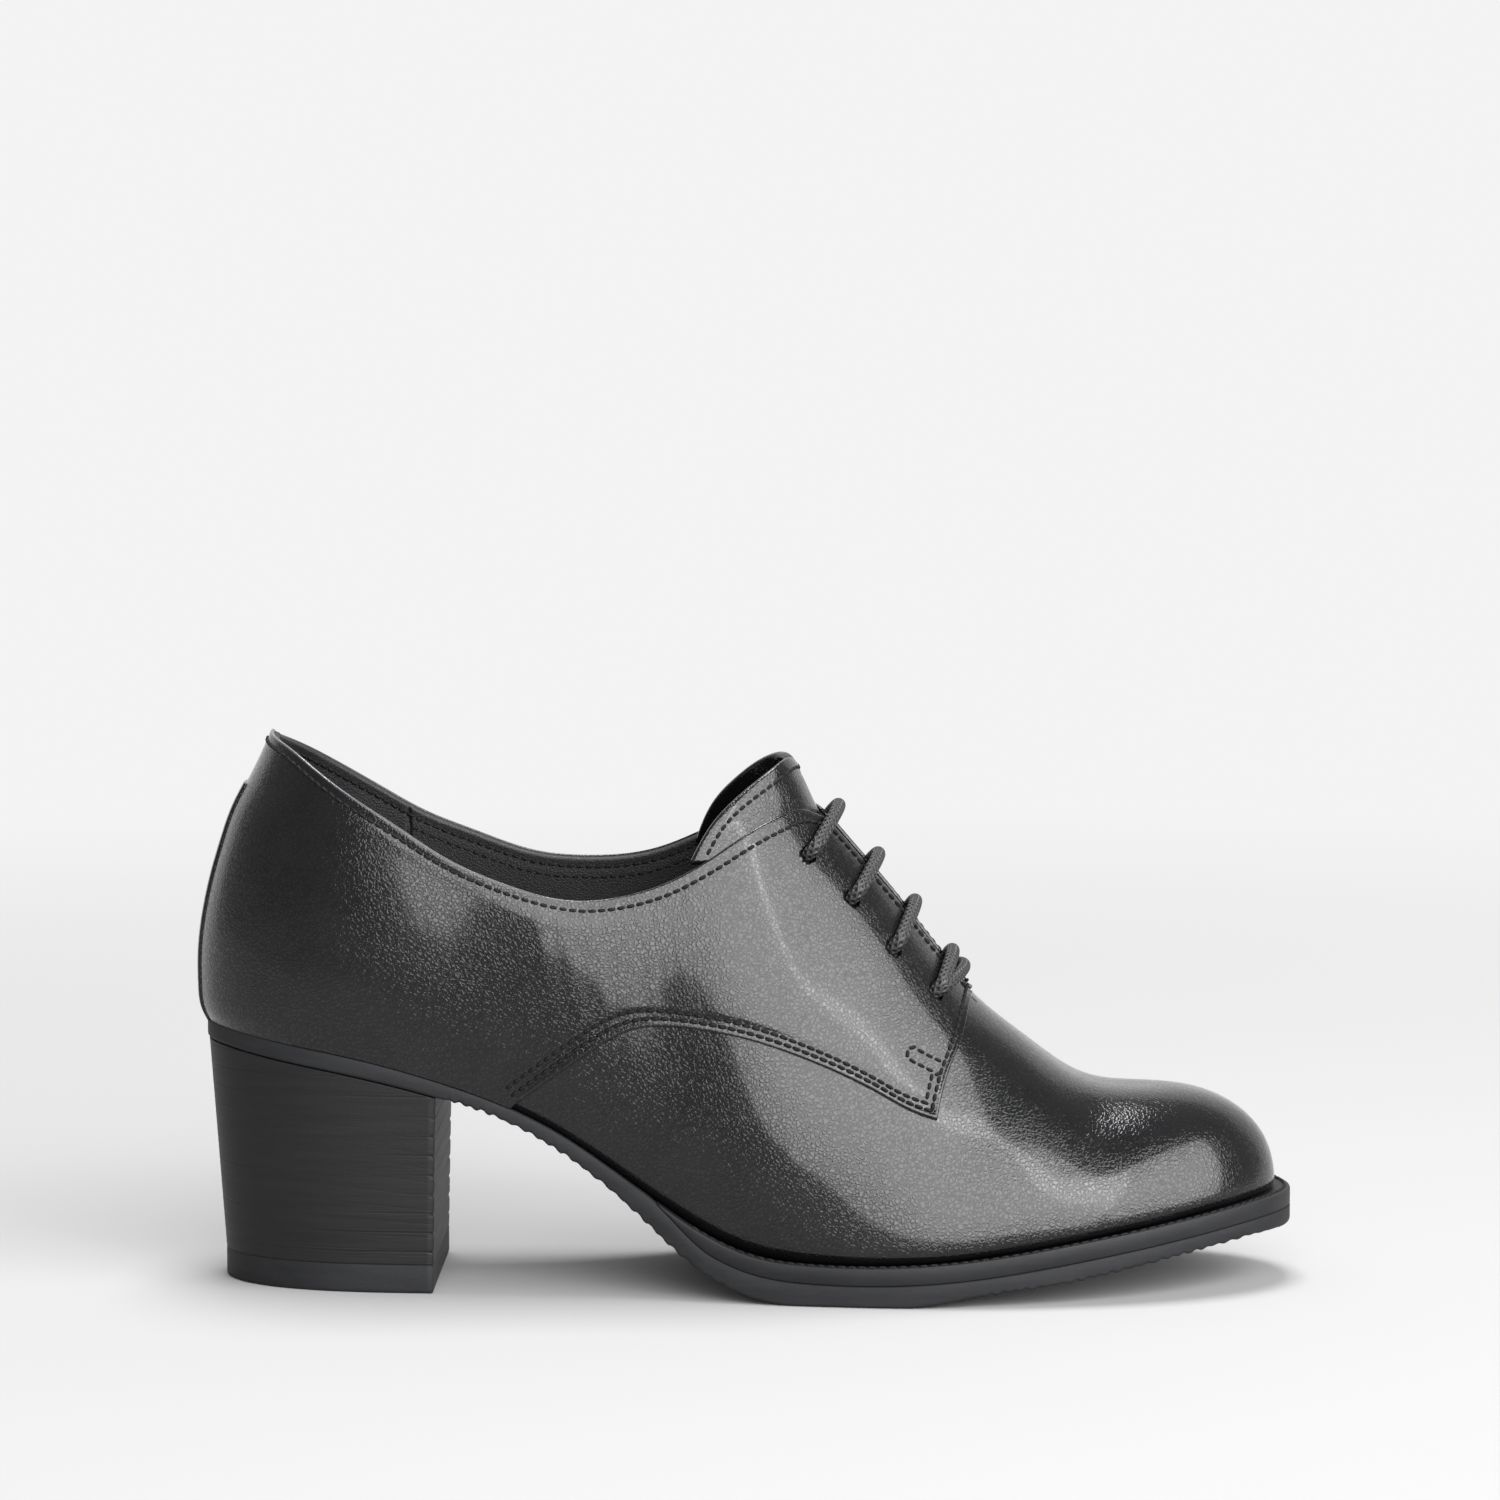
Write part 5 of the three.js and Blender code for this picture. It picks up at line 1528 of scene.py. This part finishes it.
class SHOE_OT_stitches(bpy.types.Operator):
    """Sew the quarters, the tongue, the lining and the sole's ledge."""

    bl_idname = "shoe.stitches"
    bl_label = "Stitches"

    def execute(self, context):
        sizes = context.scene.shoe_sizes
        thread = finishes()["thread"]
        for side, name in ((OUTER, "outer"), (INNER, "inner")):
            parts = []
            for flat, h in quarter_rows(side):
                points, normals = sewn_line(flat, h, side, QUARTER_LEVEL - 0.08)
                parts.append(stitches(points, normals, sizes.stitch_pitch, sizes.stitch_width))
            points, quads = joined(parts)
            make_piece("quarter_stitches_" + name, points, quads, thread, "upper")
            parts = [stitches(*line, sizes.stitch_pitch, sizes.stitch_width) for line in lining_rows(side)]
            make_piece("lining_stitches_" + name, *joined(parts), thread, "upper")
        across = np.linspace(-0.97, 0.97, 160)
        u, h, side = tongue_grid(across, np.array([0.0, 0.03]))
        speed = np.linalg.norm(np.diff(form(u, h, side), axis=1)[:, 0], axis=-1) / 0.03
        t = TONGUE_ROW / speed
        u = u[:, 0] + (u[:, 1] - u[:, 0]) * t / 0.03
        h = h[:, 0] + (h[:, 1] - h[:, 0]) * t / 0.03
        side = side[:, 0]
        points = layer(u, h, side, tongue_level(t, h) + 0.1)
        normals = outward(u, h, side)
        points, quads = stitches(points, normals, sizes.stitch_pitch, sizes.stitch_width)
        make_piece("tongue_stitches", points, quads, thread, "tongue")
        parts = []
        for side in (OUTER, INNER):
            u = np.linspace(float(angle_of(0.46)), 1.0, 400)
            line = plan_point(u, side, ledge_at(u) * 0.58)
            line[:, 2] = sole_top(station_at_x(line[:, 0])) + 0.02
            up = np.tile((0.0, 0.0, 1.0), (len(u), 1))
            parts.append(stitches(line, up, sizes.welt_pitch, 0.7))
        points, quads = joined(parts)
        make_piece("sole_stitches", points, quads, thread, "midsole")
        return {"FINISHED"}


class SHOE_OT_laces(bpy.types.Operator):
    """Run the lace through the eyelets, one bar for each row."""

    bl_idname = "shoe.laces"
    bl_label = "Laces"

    def execute(self, context):
        radius = context.scene.shoe_sizes.lace_width / 2
        for k, row in enumerate(LACE_ROWS):
            add_tube(f"lace_bar_{k + 1}", lace_path(*row), radius, (f"lace_{k + 1}",))
        along, rise, _ = LACE_ROWS[-1]
        add_tube("lace_lower_bar", lace_path(along, rise, LOWER_BAR_OVER, -0.1), radius * 0.94, ())
        return {"FINISHED"}


class SHOE_OT_stage(bpy.types.Operator):
    """Set up the floor, the lights and the camera."""

    bl_idname = "shoe.stage"
    bl_label = "Stage"

    def execute(self, context):
        colours = context.scene.shoe_colours
        floor_stage(floor_material("stage_floor", colours.floor))
        studio_lights()
        photo_camera()
        return {"FINISHED"}


def floor_stage(material):
    """A floor that curves up into a backdrop: flat, a quarter circle, then upright."""
    near, back, radius, tall, half = -5.0, 2.2, 1.2, 3.4, 5.0
    turn = np.linspace(0, np.pi / 2, 16)
    flat = np.linspace(-1, back - 0.2, 6)
    y = np.concatenate([[near], flat, back + radius * np.sin(turn), [back + radius]])
    z = np.concatenate([np.zeros(7), radius * (1 - np.cos(turn)), [tall]])
    x = np.linspace(-half, half, 9)
    points = np.stack(np.broadcast_arrays(x[None, :], y[:, None], z[:, None]), -1)
    mesh = bpy.data.meshes.new("stage_sweep")
    mesh.from_pydata(points.reshape(-1, 3).tolist(), [], grid_quads(len(y), 9)[:, ::-1].tolist())
    mesh.polygons.foreach_set("use_smooth", np.ones(len(mesh.polygons), bool))
    mesh.materials.append(material)
    sweep = bpy.data.objects.new("stage_sweep", mesh)
    bpy.context.scene.collection.objects.link(sweep)


FLOOR_TONE = 0.896
FLOOR_MIDDLE = (0.09, 0.0, 0.0)
FLOOR_GLOW = (0.28, 0.95)
FLOOR_FRONT = (0.26, 0.50)
FLOOR_FRONT_DARK = 0.4
LIGHT_AIM = Vector((0.09, 0.0, 0.05))
WORLD_LIGHT = 0.40
# Softboxes. azimuth and elevation: degrees as seen from the shoe, azimuth 0 towards the camera
# and 90 past the toe. distance, width and height in metres, power in watts.
LIGHT_COLUMNS = ("name", "azimuth", "elevation", "distance", "width", "height", "power")
LIGHTS = (
    ("front", 12.5, 22.0, 2.4, 1.89, 2.24, 95.0),
    ("front_right", 55.9, 24.0, 2.4, 1.90, 2.10, 86.0),
    ("overhead", 180.0, 80.0, 2.0, 0.7, 1.1, 50.0),
)


def studio_lights():
    for row in LIGHTS:
        lamp_sizes = dict(zip(LIGHT_COLUMNS, row))
        data = bpy.data.lights.new(lamp_sizes["name"], "AREA")
        data.shape = "RECTANGLE"
        data.size = lamp_sizes["width"]
        data.size_y = lamp_sizes["height"]
        data.energy = lamp_sizes["power"]
        lamp = bpy.data.objects.new(lamp_sizes["name"], data)
        turn, lift = math.radians(lamp_sizes["azimuth"]), math.radians(lamp_sizes["elevation"])
        way = Vector((math.sin(turn) * math.cos(lift), -math.cos(turn) * math.cos(lift), math.sin(lift)))
        lamp.location = LIGHT_AIM + way * lamp_sizes["distance"]
        lamp.rotation_euler = (-way).to_track_quat("-Z", "Y").to_euler()
        bpy.context.scene.collection.objects.link(lamp)
    world = bpy.data.worlds.new("studio")
    world.use_nodes = True
    world.node_tree.nodes["Background"].inputs[0].default_value = (1, 1, 1, 1)
    world.node_tree.nodes["Background"].inputs[1].default_value = WORLD_LIGHT
    bpy.context.scene.world = world
    bpy.context.scene.view_settings.view_transform = "Standard"


CAMERA_TARGET = (0.095, 0.0, 0.1196)
CAMERA_AZIMUTH = math.radians(1.4)
CAMERA_ELEVATION = math.radians(6.04)
CAMERA_DISTANCE = 1.508
CAMERA_LENS = 160.56


def photo_camera():
    data = bpy.data.cameras.new("camera")
    data.lens = CAMERA_LENS
    data.sensor_width = 36.0
    data.clip_end = 50.0
    camera = bpy.data.objects.new("camera", data)
    back = Vector((math.sin(CAMERA_AZIMUTH) * math.cos(CAMERA_ELEVATION),
                   -math.cos(CAMERA_AZIMUTH) * math.cos(CAMERA_ELEVATION), math.sin(CAMERA_ELEVATION)))
    camera.location = Vector(CAMERA_TARGET) + back * CAMERA_DISTANCE
    camera.rotation_euler = (-back).to_track_quat("-Z", "Y").to_euler()
    bpy.context.scene.collection.objects.link(camera)
    bpy.context.scene.camera = camera


class SHOE_PT_panel(bpy.types.Panel):
    """Lists the shoe's sizes, colours and pieces."""

    bl_label = "Shoe"
    bl_idname = "SHOE_PT_panel"
    bl_space_type = "VIEW_3D"
    bl_region_type = "UI"
    bl_category = "Shoe"

    def draw(self, context):
        for group in (context.scene.shoe_sizes, context.scene.shoe_colours):
            for name in group.__annotations__:
                self.layout.prop(group, name)
        for operator in OPERATORS:
            self.layout.operator(operator.bl_idname)


OPERATORS = (SHOE_OT_upper, SHOE_OT_tongue, SHOE_OT_sole, SHOE_OT_stitches, SHOE_OT_laces, SHOE_OT_stage)
CLASSES = (ShoeSizes, ShoeColours) + OPERATORS + (SHOE_PT_panel,)


def register():
    for item in CLASSES:
        bpy.utils.register_class(item)
    bpy.types.Scene.shoe_sizes = bpy.props.PointerProperty(type=ShoeSizes)
    bpy.types.Scene.shoe_colours = bpy.props.PointerProperty(type=ShoeColours)


def unregister():
    del bpy.types.Scene.shoe_colours
    del bpy.types.Scene.shoe_sizes
    for item in reversed(CLASSES):
        bpy.utils.unregister_class(item)


def main():
    register()
    bpy.ops.shoe.stage()
    bpy.ops.shoe.sole()
    bpy.ops.shoe.upper()
    bpy.ops.shoe.tongue()
    bpy.ops.shoe.laces()
    bpy.ops.shoe.stitches()


if __name__ == "__main__":
    main()
